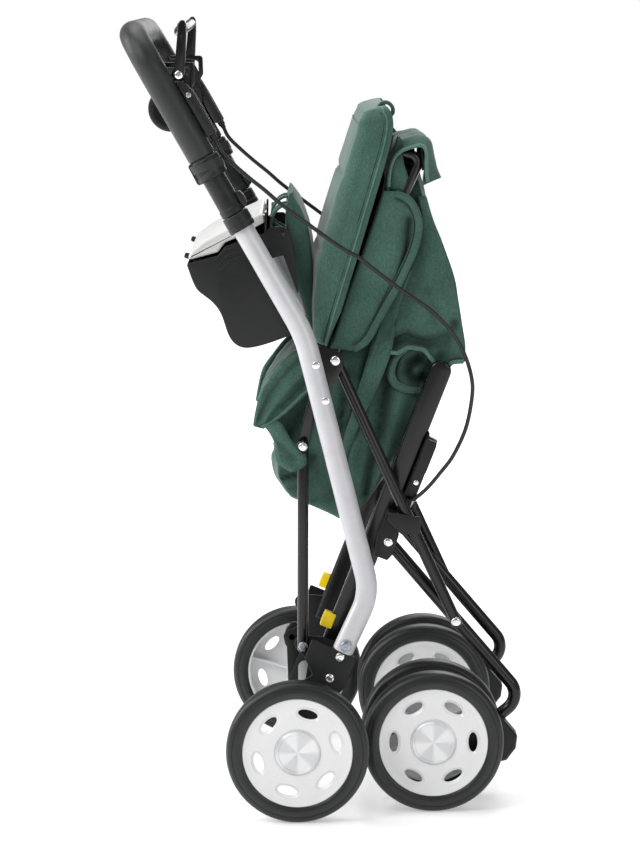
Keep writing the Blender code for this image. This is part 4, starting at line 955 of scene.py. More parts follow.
def band_into(shape, centre, axis, radius, width, thickness, tilt=0.0, start=0.0, sweep=360.0, steps=64):
    """Adds a flat band round an axis to a bmesh; tilt slides it along the axis as it goes round."""
    axis = Vector(axis).normalized()
    across = axis.cross(Vector((0, 1, 0))).normalized()
    other = axis.cross(across)
    rings = []
    whole = sweep >= 359.9
    for index in range(steps if whole else steps + 1):
        angle = math.radians(start + sweep * index / steps)
        out = across * math.cos(angle) + other * math.sin(angle)
        middle = Vector(centre) + axis * tilt * math.cos(angle)
        ring = []
        for a, b in ((-1, 0), (-0.88, 1), (0.88, 1), (1, 0)):
            ring.append(shape.verts.new(middle + out * (radius + thickness * b) + axis * a * width / 2))
        rings.append(ring)
    if whole:
        skin(shape, rings + rings[:1])
    else:
        closed_skin(shape, rings)


def make_push_bar():
    """U-shaped bar with one long foam grip."""
    for name, start, radius, material, node, sides, end_round in (
        ("push_bar_tube", -HANDLE_INSERT, HANDLE_RADIUS, black_paint, "handle_bar", 28, 0.001),
        ("push_bar_foam", FOAM_END, FOAM_RADIUS, foam, "foam_grip", 44, 0.003),
    ):
        low = handle_point(start, 0)
        high = handle_point(HANDLE_LENGTH, 0)
        corners = [at(*low, -POST_Y), at(*high, -POST_Y), at(*high, POST_Y), at(*low, POST_Y)]
        tube(name, rounded(corners, HANDLE_CORNER, 5.0), radius, "handle", material, [node], sides, end_round)


def make_sleeves():
    """Moulded sleeves and collars on the legs of the push bar, with a rubber strap round each sleeve."""
    for side, sign in SIDES:
        y = sign * POST_Y
        turned(
            "sleeve_" + side, SLEEVE_PROFILE, at(*handle_point(SLEEVE_START, 0), y), HANDLE_AXIS, "handle",
            black_plastic, ["handle_sleeve_" + side],
        )
        turned(
            "collar_" + side, COLLAR_PROFILE, at(*handle_point(COLLAR_START, 0), y), HANDLE_AXIS, "post",
            black_plastic, ["post_collar_" + side],
        )
        strap_shape = bmesh.new()
        middle = at(*handle_point(SLEEVE_START + 0.0665, 0), y)
        band_into(strap_shape, middle, HANDLE_AXIS, 0.019, 0.012, 0.0014, tilt=0.0035)
        band_into(strap_shape, middle - HANDLE_AXIS * 0.0085, HANDLE_AXIS, 0.0189, 0.006, 0.0012, tilt=-0.005)
        show("sleeve_strap_" + side, strap_shape, "handle", foam, edge_degrees=40.0)
        plate(
            "sleeve_strap_end_" + side,
            handle_line(((0.087, -0.02), (0.06, -0.021), (0.059, -0.015), (0.086, -0.014))), y - 0.0075,
            y + 0.0075, "handle", black_plastic, edge=0.0012, corner=0.003,
        )
        plate(
            "sleeve_lug_" + side,
            handle_line((
                (0.019, 0.013), (0.032, 0.0135), (0.03, 0.0195), (0.023, 0.0212), (0.013, 0.0205),
                (0.01, 0.014),
            )),
            y - 0.0085, y + 0.0085, "handle", black_plastic, edge=0.0012, corner=0.002,
        )


HOUSING_FRONT = FOAM_RADIUS + GAP
DISC_END = POST_Y - FOAM_RADIUS - GAP
EAR_Y = DISC_END - 0.004
GUARD_OUTLINE = (
    (0.104, HOUSING_FRONT), (0.104, 0.0292), (0.145, 0.0296), (0.162, 0.0292), (0.172, 0.0272),
    (0.179, 0.023), (0.1815, HOUSING_FRONT),
)
LEVER_EAR = ((0.15, 0.006), (0.152, 0.026), (0.176, 0.0332), (0.19, 0.0332), (0.197, 0.024), (0.19, 0.0125))
HOOP_OUTLINE = (
    (-0.169, 0.923), (-0.124, 0.923), (-0.1232, 0.899), (-0.129, 0.888), (-0.1296, 0.9165), (-0.166, 0.9168),
)
LEVER_ROOT = (
    (-0.1482, 0.908), (-0.1452, 0.9022), (-0.14, 0.902), (-0.1354, 0.907), (-0.1342, 0.926), (-0.1328, 0.956),
    (-0.1328, 0.97), (-0.135, 0.9734), (-0.1392, 0.9738), (-0.1424, 0.97), (-0.144, 0.95), (-0.1462, 0.926),
)


def make_lever_housings():
    """Clamp disc, cable guide with a raised rim, hoop over the lever and cable ferrule on each leg."""
    for side, sign in SIDES:
        centre = at(*handle_point(0.1556, -0.004), sign * (DISC_END - 0.01))
        profile = (
            (0.0, 0.0), (0.0262, 0.0), (0.0278, 0.0012), (0.028, 0.003), (0.028, 0.0072), (0.0272, 0.009),
            (0.0255, 0.0099), (0.0215, 0.01), (0.0205, 0.0094), (0.0, 0.0094),
        )
        solid_turned(
            "clamp_disc_" + side, profile, centre, (0, sign, 0), "handle", black_plastic,
            ["lever_housing_" + side],
        )
        plate(
            "cable_guide_" + side, handle_line(GUARD_OUTLINE), sign * (DISC_END - 0.006),
            sign * (POST_Y + 0.0078), "handle", black_plastic, edge=0.0022, corner=0.004,
        )
        rim = bmesh.new()
        line = rounded(handle_line(GUARD_OUTLINE[1:]), 0.006, 10.0)
        for y in (DISC_END - 0.0052, POST_Y + 0.007):
            sweep_into(rim, [at(p.x, p.y, sign * y) for p in line], 0.0011, 10)
        show("cable_guide_rim_" + side, rim, "handle", black_paint)
        plate(
            "lever_hoop_" + side, HOOP_OUTLINE, sign * (EAR_Y - 0.0042), sign * EAR_Y, "handle", black_paint,
            edge=0.0012, corner=0.004,
        )
        plate(
            "lever_ear_" + side, handle_line(LEVER_EAR), sign * (EAR_Y - 0.003), sign * (EAR_Y - 0.0002),
            "handle", black_plastic, edge=0.0009, corner=0.005,
        )
        rod(
            "lever_pin_" + side, LEVER_PIVOT, sign * (EAR_Y - 0.002), sign * (POST_Y + 0.0052), 0.0029,
            "handle", zinc, 20,
        )
        bolt_head(
            "lever_pin_head_" + side, LEVER_PIVOT, sign, POST_Y + 0.005, 0.0054, 0.003, "handle", chrome,
            slots=2, turn=0.3,
        )
        bolt_head(
            "guide_screw_" + side, handle_point(0.16, 0.0235), sign, POST_Y + 0.0076, 0.0036, 0.0016,
            "handle", zinc, slots=2, turn=0.9,
        )
        ferrule = at(*handle_point(0.1045, FOAM_RADIUS + 0.007), sign * POST_Y)
        solid_turned(
            "cable_ferrule_" + side,
            (
                (0.0, 0.0), (0.0044, 0.0), (0.0044, 0.006), (0.0038, 0.0068), (0.0033, 0.007),
                (0.0031, 0.0105), (0.0, 0.0105),
            ),
            ferrule, -HANDLE_AXIS, "handle", black_plastic, sides=28,
        )


def oval_sweep(shape, path, sizes, up):
    """Adds a bar of oval section along a path: sizes are (half width, half height along up)."""
    path = [Vector(point) for point in path]
    rings = []
    for index, (point, (width, height)) in enumerate(zip(path, sizes)):
        tangent = direction_at(path, index)
        upward = (Vector(up) - tangent * tangent.dot(Vector(up))).normalized()
        sideways = tangent.cross(upward)
        ring = []
        for step in range(28):
            angle = 2 * math.pi * step / 28
            cos, sin = math.cos(angle), math.sin(angle)
            ring.append(
                shape.verts.new(
                    point + sideways * math.copysign(abs(cos) ** 0.8, cos) * width
                    + upward * math.copysign(abs(sin) ** 0.8, sin) * height
                )
            )
        rings.append(ring)
    closed_skin(shape, rings)


def make_brake_levers():
    """Hand levers: a pressed root with a slot in its face, and a blade that runs in along the grip."""
    for side, sign in SIDES:
        body = "brake_lever_" + side
        root = bmesh.new()
        slab_into(root, LEVER_ROOT, sign, EAR_Y + 0.001, POST_Y + 0.0036, 0.0014, 0.003, 12.0)
        piece = show("lever_root_" + side, root, body, black_paint, ["brake_lever_" + side])
        cutter = bmesh.new()
        slot = [(-0.1404, 0.938), (-0.138, 0.938), (-0.1376, 0.956), (-0.1394, 0.956)]
        slab_into(cutter, slot, sign, POST_Y + 0.0026, POST_Y + 0.006, 0.0001, 0.0008, 30.0)
        cutter.transform(piece.matrix_world.inverted())
        cut_away(piece, cutter)
        finish(piece, None, black_paint)
        path = curve_through(
            [
                at(-0.1385, 0.966, sign * (POST_Y - 0.006)), at(-0.1392, 0.965, sign * 0.172),
                at(-0.1402, 0.9634, sign * 0.145), at(-0.1424, 0.9612, sign * 0.118),
                at(-0.1452, 0.959, sign * 0.096), at(-0.147, 0.9572, sign * 0.0845),
            ],
            5,
        )
        sizes = []
        for index in range(len(path)):
            share = index / (len(path) - 1)
            swell = 1 + 0.1 * math.sin(math.pi * share)
            tip = math.sqrt(max(0.02, 1 - max(0.0, (share - 0.88) / 0.12) ** 2))
            sizes.append((0.0052 * swell * tip, 0.0056 * swell * tip))
        blade = bmesh.new()
        oval_sweep(blade, path, sizes, (0, 0, 1))
        show("lever_blade_" + side, blade, body, black_paint)


make_push_bar()
make_sleeves()
make_lever_housings()
make_brake_levers()


# Accessory tray and its lid

TRAY_ARM_INSET = 0.012
TRAY_ARM_THICKNESS = 0.005
TRAY_HALF_WIDTH = 0.14
TRAY_WALL = 0.0025
TRAY_OUTSIDE = (
    *curve_through(
        (
            (-0.0126, 0.5853), (-0.0297, 0.5788), (-0.0487, 0.5731), (-0.0638, 0.5712), (-0.0745, 0.5747),
            (-0.082, 0.5823), (-0.0865, 0.5919), (-0.0895, 0.6014), (-0.0933, 0.6121), (-0.0985, 0.6212),
            (-0.1053, 0.6288), (-0.1129, 0.6349), (-0.1223, 0.6425), (-0.1272, 0.6509), (-0.1309, 0.66),
            (-0.134, 0.669),
        ),
        3,
    ),
    (-0.1362, 0.6753), (-0.0971, 0.686), (-0.0885, 0.697), (-0.0725, 0.703), (-0.006, 0.59),
)
TRAY_INSIDE = (
    (-0.14, 0.683), (-0.133, 0.6735), (-0.1275, 0.661), (-0.124, 0.652), (-0.12, 0.645), (-0.111, 0.6375),
    (-0.1035, 0.6315), (-0.096, 0.623), (-0.0905, 0.613), (-0.0865, 0.602), (-0.0835, 0.5925),
    (-0.079, 0.5845), (-0.0735, 0.5785), (-0.064, 0.5745), (-0.049, 0.5765), (-0.03, 0.582), (-0.013, 0.5885),
    (-0.075, 0.702), (-0.08, 0.72),
)
TRAY_ARM = (
    (-0.0735, 0.6985), (-0.043, 0.712), (-0.0408, 0.7126), (-0.0351, 0.7175), (-0.0276, 0.7205),
    (-0.0181, 0.7205), (-0.0113, 0.716), (-0.0075, 0.7069), (-0.0037, 0.6879), (-0.0015, 0.6651),
    (0.0015, 0.6422), (0.001, 0.636), (-0.0015, 0.6441), (-0.0068, 0.6575), (-0.0125, 0.6727),
    (-0.017, 0.685), (-0.026, 0.683), (-0.05, 0.675), (-0.07, 0.69),
)
TRAY_BEAD = ((-0.1335, 0.6722), (-0.099, 0.6812), (-0.09, 0.692), (-0.076, 0.6975))
LID_OUTLINE = (
    (-0.137, 0.679), (-0.129, 0.6926), (-0.113, 0.7049), (-0.0847, 0.7196), (-0.0577, 0.7319),
    (-0.0429, 0.738), (-0.0408, 0.7262), (-0.0725, 0.708), (-0.0885, 0.7015), (-0.0971, 0.6895),
)


def make_tray():
    """Black tray with beaded walls that hangs by two arms from the posts, and its pale lid."""
    shape = bmesh.new()
    plate_into(
        shape, rounded(TRAY_OUTSIDE, 0.0025, 20.0, closed=True), -TRAY_HALF_WIDTH, TRAY_HALF_WIDTH, 0.0018,
    )
    tray = show("tray_shell", shape, "post", black_plastic, ["accessory_tray"])
    hollow = bmesh.new()
    width = TRAY_HALF_WIDTH - TRAY_WALL
    plate_into(hollow, rounded(TRAY_INSIDE, 0.002, 20.0, closed=True), -width, width, 0.0012)
    hollow.transform(tray.matrix_world.inverted())
    cut_away(tray, hollow)
    finish(tray, None, black_plastic)
    beads = bmesh.new()
    for drop, shrink in ((0.0, 0.0), (0.0062, 0.001), (0.0125, 0.0022)):
        line = [(x + shrink * 2 + drop * 0.25, z - drop) for x, z in TRAY_BEAD]
        near = [at(x, z, -TRAY_HALF_WIDTH - 0.0001) for x, z in reversed(line)]
        far = [at(x, z, TRAY_HALF_WIDTH + 0.0001) for x, z in line]
        near[-1].y += 0.004
        far[0].y -= 0.004
        near[-1].x -= 0.0006
        far[0].x -= 0.0006
        sweep_into(beads, [*near, *far], 0.0009, 8)
    show("tray_beads", beads, "post", black_plastic)
    for side, sign in SIDES:
        inner = TRAY_HALF_WIDTH - TRAY_ARM_INSET
        plate(
            "tray_arm_" + side, TRAY_ARM, sign * inner, sign * (inner + TRAY_ARM_THICKNESS), "post",
            black_plastic, edge=0.0004, corner=0.001,
        )
        for index, (x, low, high) in enumerate(((-0.0388, 0.713, 0.7378), (-0.0324, 0.716, 0.7335))):
            plate(
                "tray_clip_%s_%d" % (side, index),
                [(x - 0.0013, low), (x + 0.0013, low), (x + 0.0016, high), (x - 0.001, high)],
                sign * (inner - 0.01), sign * (inner + 0.0045), "post", black_plastic, edge=0.0005,
                corner=0.0008,
            )
        bolt_head(
            "tray_rivet_" + side, (-0.018, 0.713), sign, inner + 0.0048, 0.004, 0.0014, "post", black_paint,
            slots=0,
        )
    top = bmesh.new()
    plate_into(top, rounded(LID_OUTLINE, 0.0035, 15.0, closed=True), -TRAY_HALF_WIDTH, TRAY_HALF_WIDTH, 0.004)
    show("tray_lid_shell", top, "tray_lid", lid_plastic, ["tray_lid"])
    for side, sign in SIDES:
        solid_turned(
            "lid_stop_" + side,
            (
                (0.0, -0.003), (0.0036, -0.003), (0.0038, 0.0005), (0.0034, 0.0024), (0.0024, 0.0031),
                (0.0, 0.0033),
            ),
            at(-0.1355, 0.685, sign * 0.132), (-0.85, 0, 0.25), "tray_lid", black_plastic, sides=24,
        )
        plate(
            "lid_hinge_" + side, [(-0.047, 0.733), (-0.04, 0.7345), (-0.0385, 0.727), (-0.044, 0.7215)],
            sign * 0.1, sign * 0.118, "tray_lid", lid_plastic, edge=0.001, corner=0.002,
        )


make_tray()


# Rear brackets with brake arms and release buttons

PLATE = 0.003
CHEEK_INNER = RAIL_OUTER + GAP
BRACKET_OUTER_TOP = (
    (0.1255, -0.03), (0.125, -0.002), (0.14, -0.001), (0.1495, 0.005), (0.1495, 0.016), (0.14, 0.0215),
    (0.124, 0.0225), (0.1236, 0.0305), (0.0832, 0.0303), (0.05, 0.016),
)
BRACKET_OUTER_LOW = ((0.0843, -0.013), (0.1, -0.029))
BRACKET_INNER_TOP = ((0.125, -0.015), (0.125, 0.022), (0.118, 0.034), (0.09, 0.036), (0.06, 0.026))
BRACKET_INNER_LOW = ((0.06, -0.014), (0.088, -0.02))
BRACKET_WEBS = (
    ((0.0836, -0.008), (0.0836, 0.0298), (0.0862, 0.0298), (0.0862, -0.008)),
    ((0.085, 0.0275), (0.118, 0.0275), (0.118, 0.03), (0.085, 0.03)),
)
BRAKE_ARM_THICKNESS = 0.006
BRAKE_PIVOT = (-0.0075, 0.1437)
BRAKE_ARM = (
    (-0.001, 0.163), (-0.0075, 0.164), (-0.015, 0.154), (-0.019, 0.144), (-0.017, 0.134), (-0.011, 0.1235),
    (-0.004, 0.1235), (0.0015, 0.134), (0.0035, 0.148),
)
BRACKET_BOLTS = ((0.0525, 0.1931), (0.0401, 0.1667))


def arc(centre, radius, start, end, steps):
    """Drawn points round part of a circle, from one angle to another in degrees."""
    points = []
    for index in range(steps + 1):
        angle = math.radians(start + (end - start) * index / steps)
        points.append((centre[0] + radius * math.cos(angle), centre[1] + radius * math.sin(angle)))
    return points


def headed_pin(name, side, point, start, face, radius, body, head, material, slots, turn):
    """Zinc pin that ends in a domed head on the outside of what it holds; head is (radius, height)."""
    sign = dict(SIDES)[side]
    rod(name + "_" + side, point, sign * start, sign * face, radius, body, zinc, 20)
    bolt_head(
        name + "_head_" + side, point, sign, face - BOLT_SINK, *head, body, material, slots=slots, turn=turn,
    )


def washer(name, point, sign, y, radius, body, material):
    """Flat washer on a plate."""
    solid_turned(
        name,
        (
            (0.0, 0.0), (radius - 0.0003, 0.0), (radius, 0.0003), (radius, 0.0008), (radius - 0.0003, 0.0011),
            (0.0, 0.0011),
        ),
        at(*point, sign * y), (0, sign, 0), body, material, sides=36,
    )


def make_rear_brackets():
    """Pressed plates, webs and bolts that hold axle, rail, post foot, link and brake arm."""
    inner = rail_line(BRACKET_INNER_TOP) + arc(AXLE, 0.013, -10, -190, 12) + rail_line(BRACKET_INNER_LOW)
    inner += arc(LINK_FOOT, 0.0105, 250, 90, 12)
    outer = (
        rail_line(BRACKET_OUTER_TOP) + arc(AXLE, 0.013, -10, -190, 12) + arc(BRAKE_PIVOT, 0.011, 230, 90, 10)
    )
    outer += rail_line(BRACKET_OUTER_LOW)
    for side, sign in SIDES:
        shape = bmesh.new()
        slab_into(shape, inner, sign, CHEEK_INNER, CHEEK_INNER + PLATE, 0.0009, 0.002, 15.0)
        slab_into(shape, outer, sign, REAR_PLATE_Y, REAR_PLATE_Y + PLATE, 0.0011, 0.002, 15.0)
        for web in BRACKET_WEBS:
            plate_into(
                shape, rail_line(web), sign * (CHEEK_INNER + PLATE / 2), sign * (REAR_PLATE_Y + PLATE / 2),
                0.0003,
            )
        show("bracket_plates_" + side, shape, "chassis", black_plastic, ["rear_bracket_" + side])
        face = REAR_PLATE_Y + PLATE
        for index, point in enumerate(BRACKET_BOLTS):
            bolt_head(
                "bracket_bolt_%s_%d" % (side, index), point, sign, face - BOLT_SINK, 0.0056, 0.003, "chassis",
                chrome, turn=0.35 - 0.25 * index,
            )
        post_face = POST_Y + POST_RADIUS + PLAY
        rod(
            "foot_bolt_" + side, POST_FOOT, sign * REAR_PLATE_Y, sign * post_face, BAR_PIN_RADIUS, "chassis",
            zinc, 24,
        )
        washer("foot_washer_" + side, POST_FOOT, sign, post_face - 0.0011, 0.0082, "chassis", zinc)
        bolt_head(
            "foot_bolt_head_" + side, POST_FOOT, sign, post_face - 0.0001, 0.0066, 0.0028, "chassis", zinc,
            slots=2, turn=0.5,
        )
        link_face = LINK_Y + LINK_RADIUS + PLAY
        headed_pin(
            "link_pin", side, LINK_FOOT, CHEEK_INNER, link_face, PIN_RADIUS, "chassis", (PIN_HEAD, 0.0028),
            zinc, 2, 0.2,
        )
        arm_face = face + PLAY
        brake_face = arm_face + BRAKE_ARM_THICKNESS + PLAY
        headed_pin(
            "brake_pin", side, BRAKE_PIVOT, REAR_PLATE_Y, brake_face, PIN_RADIUS, "chassis",
            (PIN_HEAD, 0.0028), chrome, 1, 0.6,
        )
        arm = bmesh.new()
        slab_into(arm, BRAKE_ARM, sign, arm_face, arm_face + BRAKE_ARM_THICKNESS, 0.0012, 0.003, 15.0)
        body = "brake_arm_" + side
        show("brake_arm_plate_" + side, arm, body, black_plastic, ["brake_arm_" + side])
        pawl_end = HALF_TRACK - HUB_REACH - PLAY
        tube(
            "brake_pawl_" + side,
            [at(-0.0075, 0.1285, sign * (arm_face + 0.001)), at(-0.0075, 0.1285, sign * pawl_end)], 0.0034,
            body, zinc, sides=20, end_round=0.0008,
        )


BUTTON_LOW = 0.1375
BUTTON_HIGH = 0.1566
BUTTON_BACK = -0.0236


def make_buttons():
    """Yellow release buttons that hook round the rails."""
    behind = -RAIL_DEPTH / 2 - GAP
    for side, sign in SIDES:
        shape = bmesh.new()
        block = [
            (BUTTON_LOW, BUTTON_BACK), (BUTTON_LOW, behind), (BUTTON_HIGH, behind),
            (BUTTON_HIGH, BUTTON_BACK),
        ]
        lip = [
            (BUTTON_LOW, BUTTON_BACK), (BUTTON_LOW, behind + 0.005), (BUTTON_HIGH, behind + 0.005),
            (BUTTON_HIGH, BUTTON_BACK),
        ]
        outside = RAIL_OUTER + GAP
        slab_into(shape, rail_line(block), sign, RAIL_INNER + 0.001, outside + 0.001, 0.0007, 0.0008, 30.0)
        slab_into(shape, rail_line(lip), sign, outside, outside + 0.0022, 0.0009, 0.0016, 20.0)
        for along in (0.142, 0.145, 0.148, 0.151):
            ridge = [
                (along, BUTTON_BACK - 0.0006), (along, BUTTON_BACK + 0.001),
                (along + 0.0012, BUTTON_BACK + 0.001), (along + 0.0012, BUTTON_BACK - 0.0006),
            ]
            plate_into(shape, rail_line(ridge), sign * (RAIL_INNER + 0.002), sign * (outside - 0.001), 0.0003)
        show("release_button_" + side, shape, "lock_button_" + side, yellow_plastic, ["lock_button_" + side])


make_rear_brackets()
make_buttons()


# Clevises, clips and cable boxes on the rails

CHEEK_OUTER = LEG_Y + LEG_RADIUS + PLAY
CLIP_CHEEK = STRUT_Y + STRUT_RADIUS + PLAY
CLEVIS_STRIP = (
    (0.256, 0.0138), (0.416, 0.0138), (0.407, 0.0173), (0.406, 0.0283), (0.328, 0.0284), (0.32, 0.019),
    (0.256, 0.019),
)
CLEVIS_CHEEK = (
    (0.306, 0.001), (0.306, 0.015), (0.282, 0.025), (0.256, 0.0265), (0.247, 0.023), (0.247, 0.006),
    (0.27, 0.001),
)
CLEVIS_WEB = ((0.286, 0.002), (0.286, 0.011), (0.3045, 0.011), (0.3045, 0.002))
CABLE_BOX = ((0.33, 0.0145), (0.33, 0.028), (0.405, 0.028), (0.405, 0.0145))
BOX_LID = ((0.364, 0.015), (0.364, 0.0284), (0.401, 0.0284), (0.405, 0.024), (0.405, 0.015))
CLIP_BACK = ((0.3068, 0.001), (0.3093, 0.0122), (0.2893, 0.033), (0.2865, 0.0249), (0.296, 0.004))
CLIP_FACE = ((0.3068, 0.0009), (0.3154, 0.0402), (0.2951, 0.0468), (0.2865, 0.0249))
CABLE_STOP_TOP = 0.3275
CABLE_STOP_Y = 0.1568
CABLE_RADIUS = 0.0025
CABLE_FORWARD = 0.0255


def make_clevises():
    """Moulded part on the front of each rail: leg pivot, cable box and the folded strut's clip."""
    for side, sign in SIDES:
        shape = bmesh.new()

        def add(outline, near, far, edge=0.0008, corner=0.0012):
            plate_into(
                shape, rounded(rail_line(outline), corner, 20.0, closed=True), sign * near, sign * far, edge,
            )

        add(CLEVIS_STRIP, RAIL_INNER, CHEEK_INNER + PLATE, 0.0012)
        add(CLEVIS_CHEEK, CHEEK_INNER, CHEEK_INNER + PLATE)
        add(CLEVIS_CHEEK, CHEEK_OUTER, CHEEK_OUTER + PLATE, 0.001, 0.0025)
        add(CLEVIS_WEB, CHEEK_INNER + PLATE / 2, CHEEK_OUTER + PLATE / 2, 0.0005)
        add(CABLE_BOX, CHEEK_INNER + PLATE / 2, LEG_Y + 0.0018, 0.0014, 0.002)
        add(BOX_LID, LEG_Y + 0.0006, LEG_Y + 0.0028, 0.0008, 0.0015)
        add(CLIP_BACK, CHEEK_OUTER + PLATE / 2, CLIP_CHEEK + PLATE / 2, 0.0006)
        add(CLIP_FACE, CLIP_CHEEK, CLIP_CHEEK + PLATE, 0.001, 0.002)
        stop = (
            (CABLE_STOP_TOP - 0.011, 0.019), (CABLE_STOP_TOP, 0.019), (CABLE_STOP_TOP, 0.031),
            (CABLE_STOP_TOP - 0.011, 0.031),
        )
        add(stop, CHEEK_INNER + PLATE / 2, CABLE_STOP_Y + CABLE_RADIUS + 0.0004, 0.0008)
        show("clevis_" + side, shape, "chassis", black_plastic, ["leg_clevis_" + side])
        face = CHEEK_OUTER + PLATE
        headed_pin(
            "leg_pin", side, LEG_PIVOT, CHEEK_INNER + 0.001, face, PIN_RADIUS, "chassis", (PIN_HEAD, 0.003),
            chrome, 1, -0.35,
        )
        bolt_head(
            "box_screw_" + side, rail_point(0.349, 0.0215), sign, LEG_Y + 0.0016, 0.0034, 0.0013, "chassis",
            chrome, turn=0.1,
        )
        tail = bmesh.new()
        top = rail_point(CABLE_STOP_TOP - 0.01, CABLE_FORWARD)
        start = at(*top, sign * (CABLE_STOP_Y - 0.0005))
        adjuster_end = at(*rail_point(CABLE_STOP_TOP + 0.0002, CABLE_FORWARD), sign * CABLE_STOP_Y)
        sweep_into(tail, [start, adjuster_end], 0.0034, 20)
        show("cable_adjuster_" + side, tail, "chassis", zinc)


make_clevises()


# Joint bolts, seat brackets, levers and castor forks

SEAT_BRACKET = (
    (0.008, 0.58), (0.03, 0.579), (0.048, 0.5735), (0.0545, 0.569), (0.056, 0.554), (0.044, 0.53),
    (0.036, 0.5), (0.022, 0.5),
)
SEAT_LEVER_THICKNESS = 0.005
LEVER_KNEE = 0.0184
LEVER_HALF_WIDTH = 0.0065
LINK_EYE_RADIUS = 0.0075
LINK_LEVER_OUTER = LINK_Y - LINK_RADIUS - PLAY
SEAT_FRAME_RADIUS = 0.0062
SEAT_FRAME_Y = LINK_LEVER_OUTER - SEAT_LEVER_THICKNESS - PLAY - SEAT_FRAME_RADIUS
POST_RIVETS = ((0.0228, 0.5585), (0.0346, 0.515))


def pin(name, point, sign, steps, body, material):
    """Turned pin whose steps are (radius, end), from a first y."""
    start, *rest = steps
    profile = [(0.0, 0.0)]
    low = start
    for radius, end in rest:
        profile += [
            (radius - 0.0002, low - start), (radius, low - start + 0.0002), (radius, end - start - 0.0002),
            (radius - 0.0002, end - start),
        ]
        low = end
    profile.append((0.0, low - start))
    return solid_turned(name, profile, at(*point, sign * start), (0, sign, 0), body, material, sides=28)


def make_joints():
    """Seat brackets with their pins, rivets in the posts, strut bolts and the flat seat levers."""
    lever = (
        arc(LINK_HEAD, LINK_EYE_RADIUS, 166, 346, 10) + [(LEVER_KNEE + LEVER_HALF_WIDTH, 0.496)]
        + arc(SEAT_PIVOT, LEVER_HALF_WIDTH, -24, 156, 10)
    )
    lever += [(LEVER_KNEE - LEVER_HALF_WIDTH, 0.5)]
    for side, sign in SIDES:
        shape = bmesh.new()
        slab_into(shape, SEAT_BRACKET, sign, SEAT_BRACKET_Y, SEAT_BRACKET_Y + PLATE, 0.0009, 0.003, 15.0)
        show("seat_bracket_plate_" + side, shape, "post", black_paint, ["seat_bracket_" + side])
        inside = SEAT_FRAME_Y - SEAT_FRAME_RADIUS - PLAY
        spacer = STRUT_Y + STRUT_RADIUS + PLAY
        pin(
            "seat_pin_" + side, SEAT_PIVOT, sign,
            [inside - 0.002, (0.0056, inside), (PIN_RADIUS, spacer), (PIN_COLLAR, SEAT_BRACKET_Y + 0.0005)],
            "post", zinc,
        )
        bolt_head(
            "seat_pin_head_" + side, SEAT_PIVOT, sign, SEAT_BRACKET_Y + PLATE - BOLT_SINK, 0.0062, 0.003,
            "post", chrome, turn=0.0,
        )
        for index, point in enumerate(POST_RIVETS):
            bolt_head(
                "post_rivet_%s_%d" % (side, index), point, sign, POST_Y + POST_RADIUS - 0.0004, 0.0048,
                0.0016, "post", chrome, turn=0.0, slots=1,
            )
        outside = STRUT_Y + STRUT_RADIUS
        pin(
            "strut_bolt_" + side, STRUT_BOLT, sign, [LEG_Y + LEG_RADIUS + PLAY, (PIN_COLLAR, STRUT_Y)],
            "struts", zinc,
        )
        bolt_head(
            "strut_bolt_head_" + side, STRUT_BOLT, sign, outside - 0.0003, PIN_HEAD, 0.003, "struts", chrome,
            turn=-0.1,
        )
        shape = bmesh.new()
        plate_into(
            shape, lever, sign * (LINK_LEVER_OUTER - SEAT_LEVER_THICKNESS), sign * LINK_LEVER_OUTER, 0.0012,
        )
        show("seat_lever_bar_" + side, shape, "seat_levers", black_paint, ["seat_lever_" + side])
        bolt_head(
            "link_bolt_head_" + side, LINK_HEAD, sign, LINK_Y + LINK_RADIUS - 0.0004, PIN_HEAD, 0.0028,
            "rear_links", chrome, slots=2, turn=0.2,
        )


def stem_point(along, forward):
    """Drawn point down the castor stem and in front of it."""
    return along_axis(STEM_END, STEM_ANGLE, along, -forward)


STEM_AXIS = Vector((math.cos(STEM_ANGLE), 0, math.sin(STEM_ANGLE)))
FORK_HALF_WIDTH = 0.019


def make_castor_forks():
    """Moulded castor blocks between the twin wheels, each with its cup, stem bearing and axle."""
    outline = [
        stem_point(*pair)
        for pair in ((-0.0125, -0.012), (-0.0125, 0.032), (-0.001, 0.0427), (0.0175, 0.0472), (0.036, 0.038))
    ]
    outline += arc(CASTOR_WHEEL, 0.013, -75, -255, 14)
    outline += [stem_point(0.022, -0.02)]
    for side, sign in SIDES:
        y = sign * LEG_Y
        shape = bmesh.new()
        plate_into(
            shape, rounded(outline, 0.004, 12.0, closed=True), y - FORK_HALF_WIDTH, y + FORK_HALF_WIDTH,
            0.0045,
        )
        fork = show("castor_block_" + side, shape, "castor_" + side, black_plastic, ["castor_fork_" + side])
        for low, high, radius in ((-0.03, 0.001, 0.0112), (-0.001, 0.021, 0.0056)):
            cutter = bmesh.new()
            sweep_into(cutter, [at(*stem_point(low, 0), y), at(*stem_point(high, 0), y)], radius, 32)
            cutter.transform(fork.matrix_world.inverted())
            cut_away(fork, cutter)
        finish(fork, None, black_plastic)
        reach = TWIN_OFFSET + AXLE_STUB
        rod(
            "castor_axle_" + side, CASTOR_WHEEL, y - reach, y + reach, BAR_PIN_RADIUS, "castor_" + side, zinc,
            20,
        )
        turned(
            "castor_bearing_" + side,
            ((0.006, -0.004), (0.0098, -0.004), (0.0103, -0.003), (0.0103, 0.0008), (0.006, 0.0008)),
            at(*stem_point(0, 0), y), STEM_AXIS, "castor_" + side, zinc, sides=36,
        )
        tube(
            "castor_stem_" + side, [at(*stem_point(-0.008, 0), y), at(*stem_point(0.02, 0), y)], 0.0049,
            "legs", zinc, sides=20, end_round=0.0,
        )


make_joints()
make_castor_forks()


# Seat frame and board

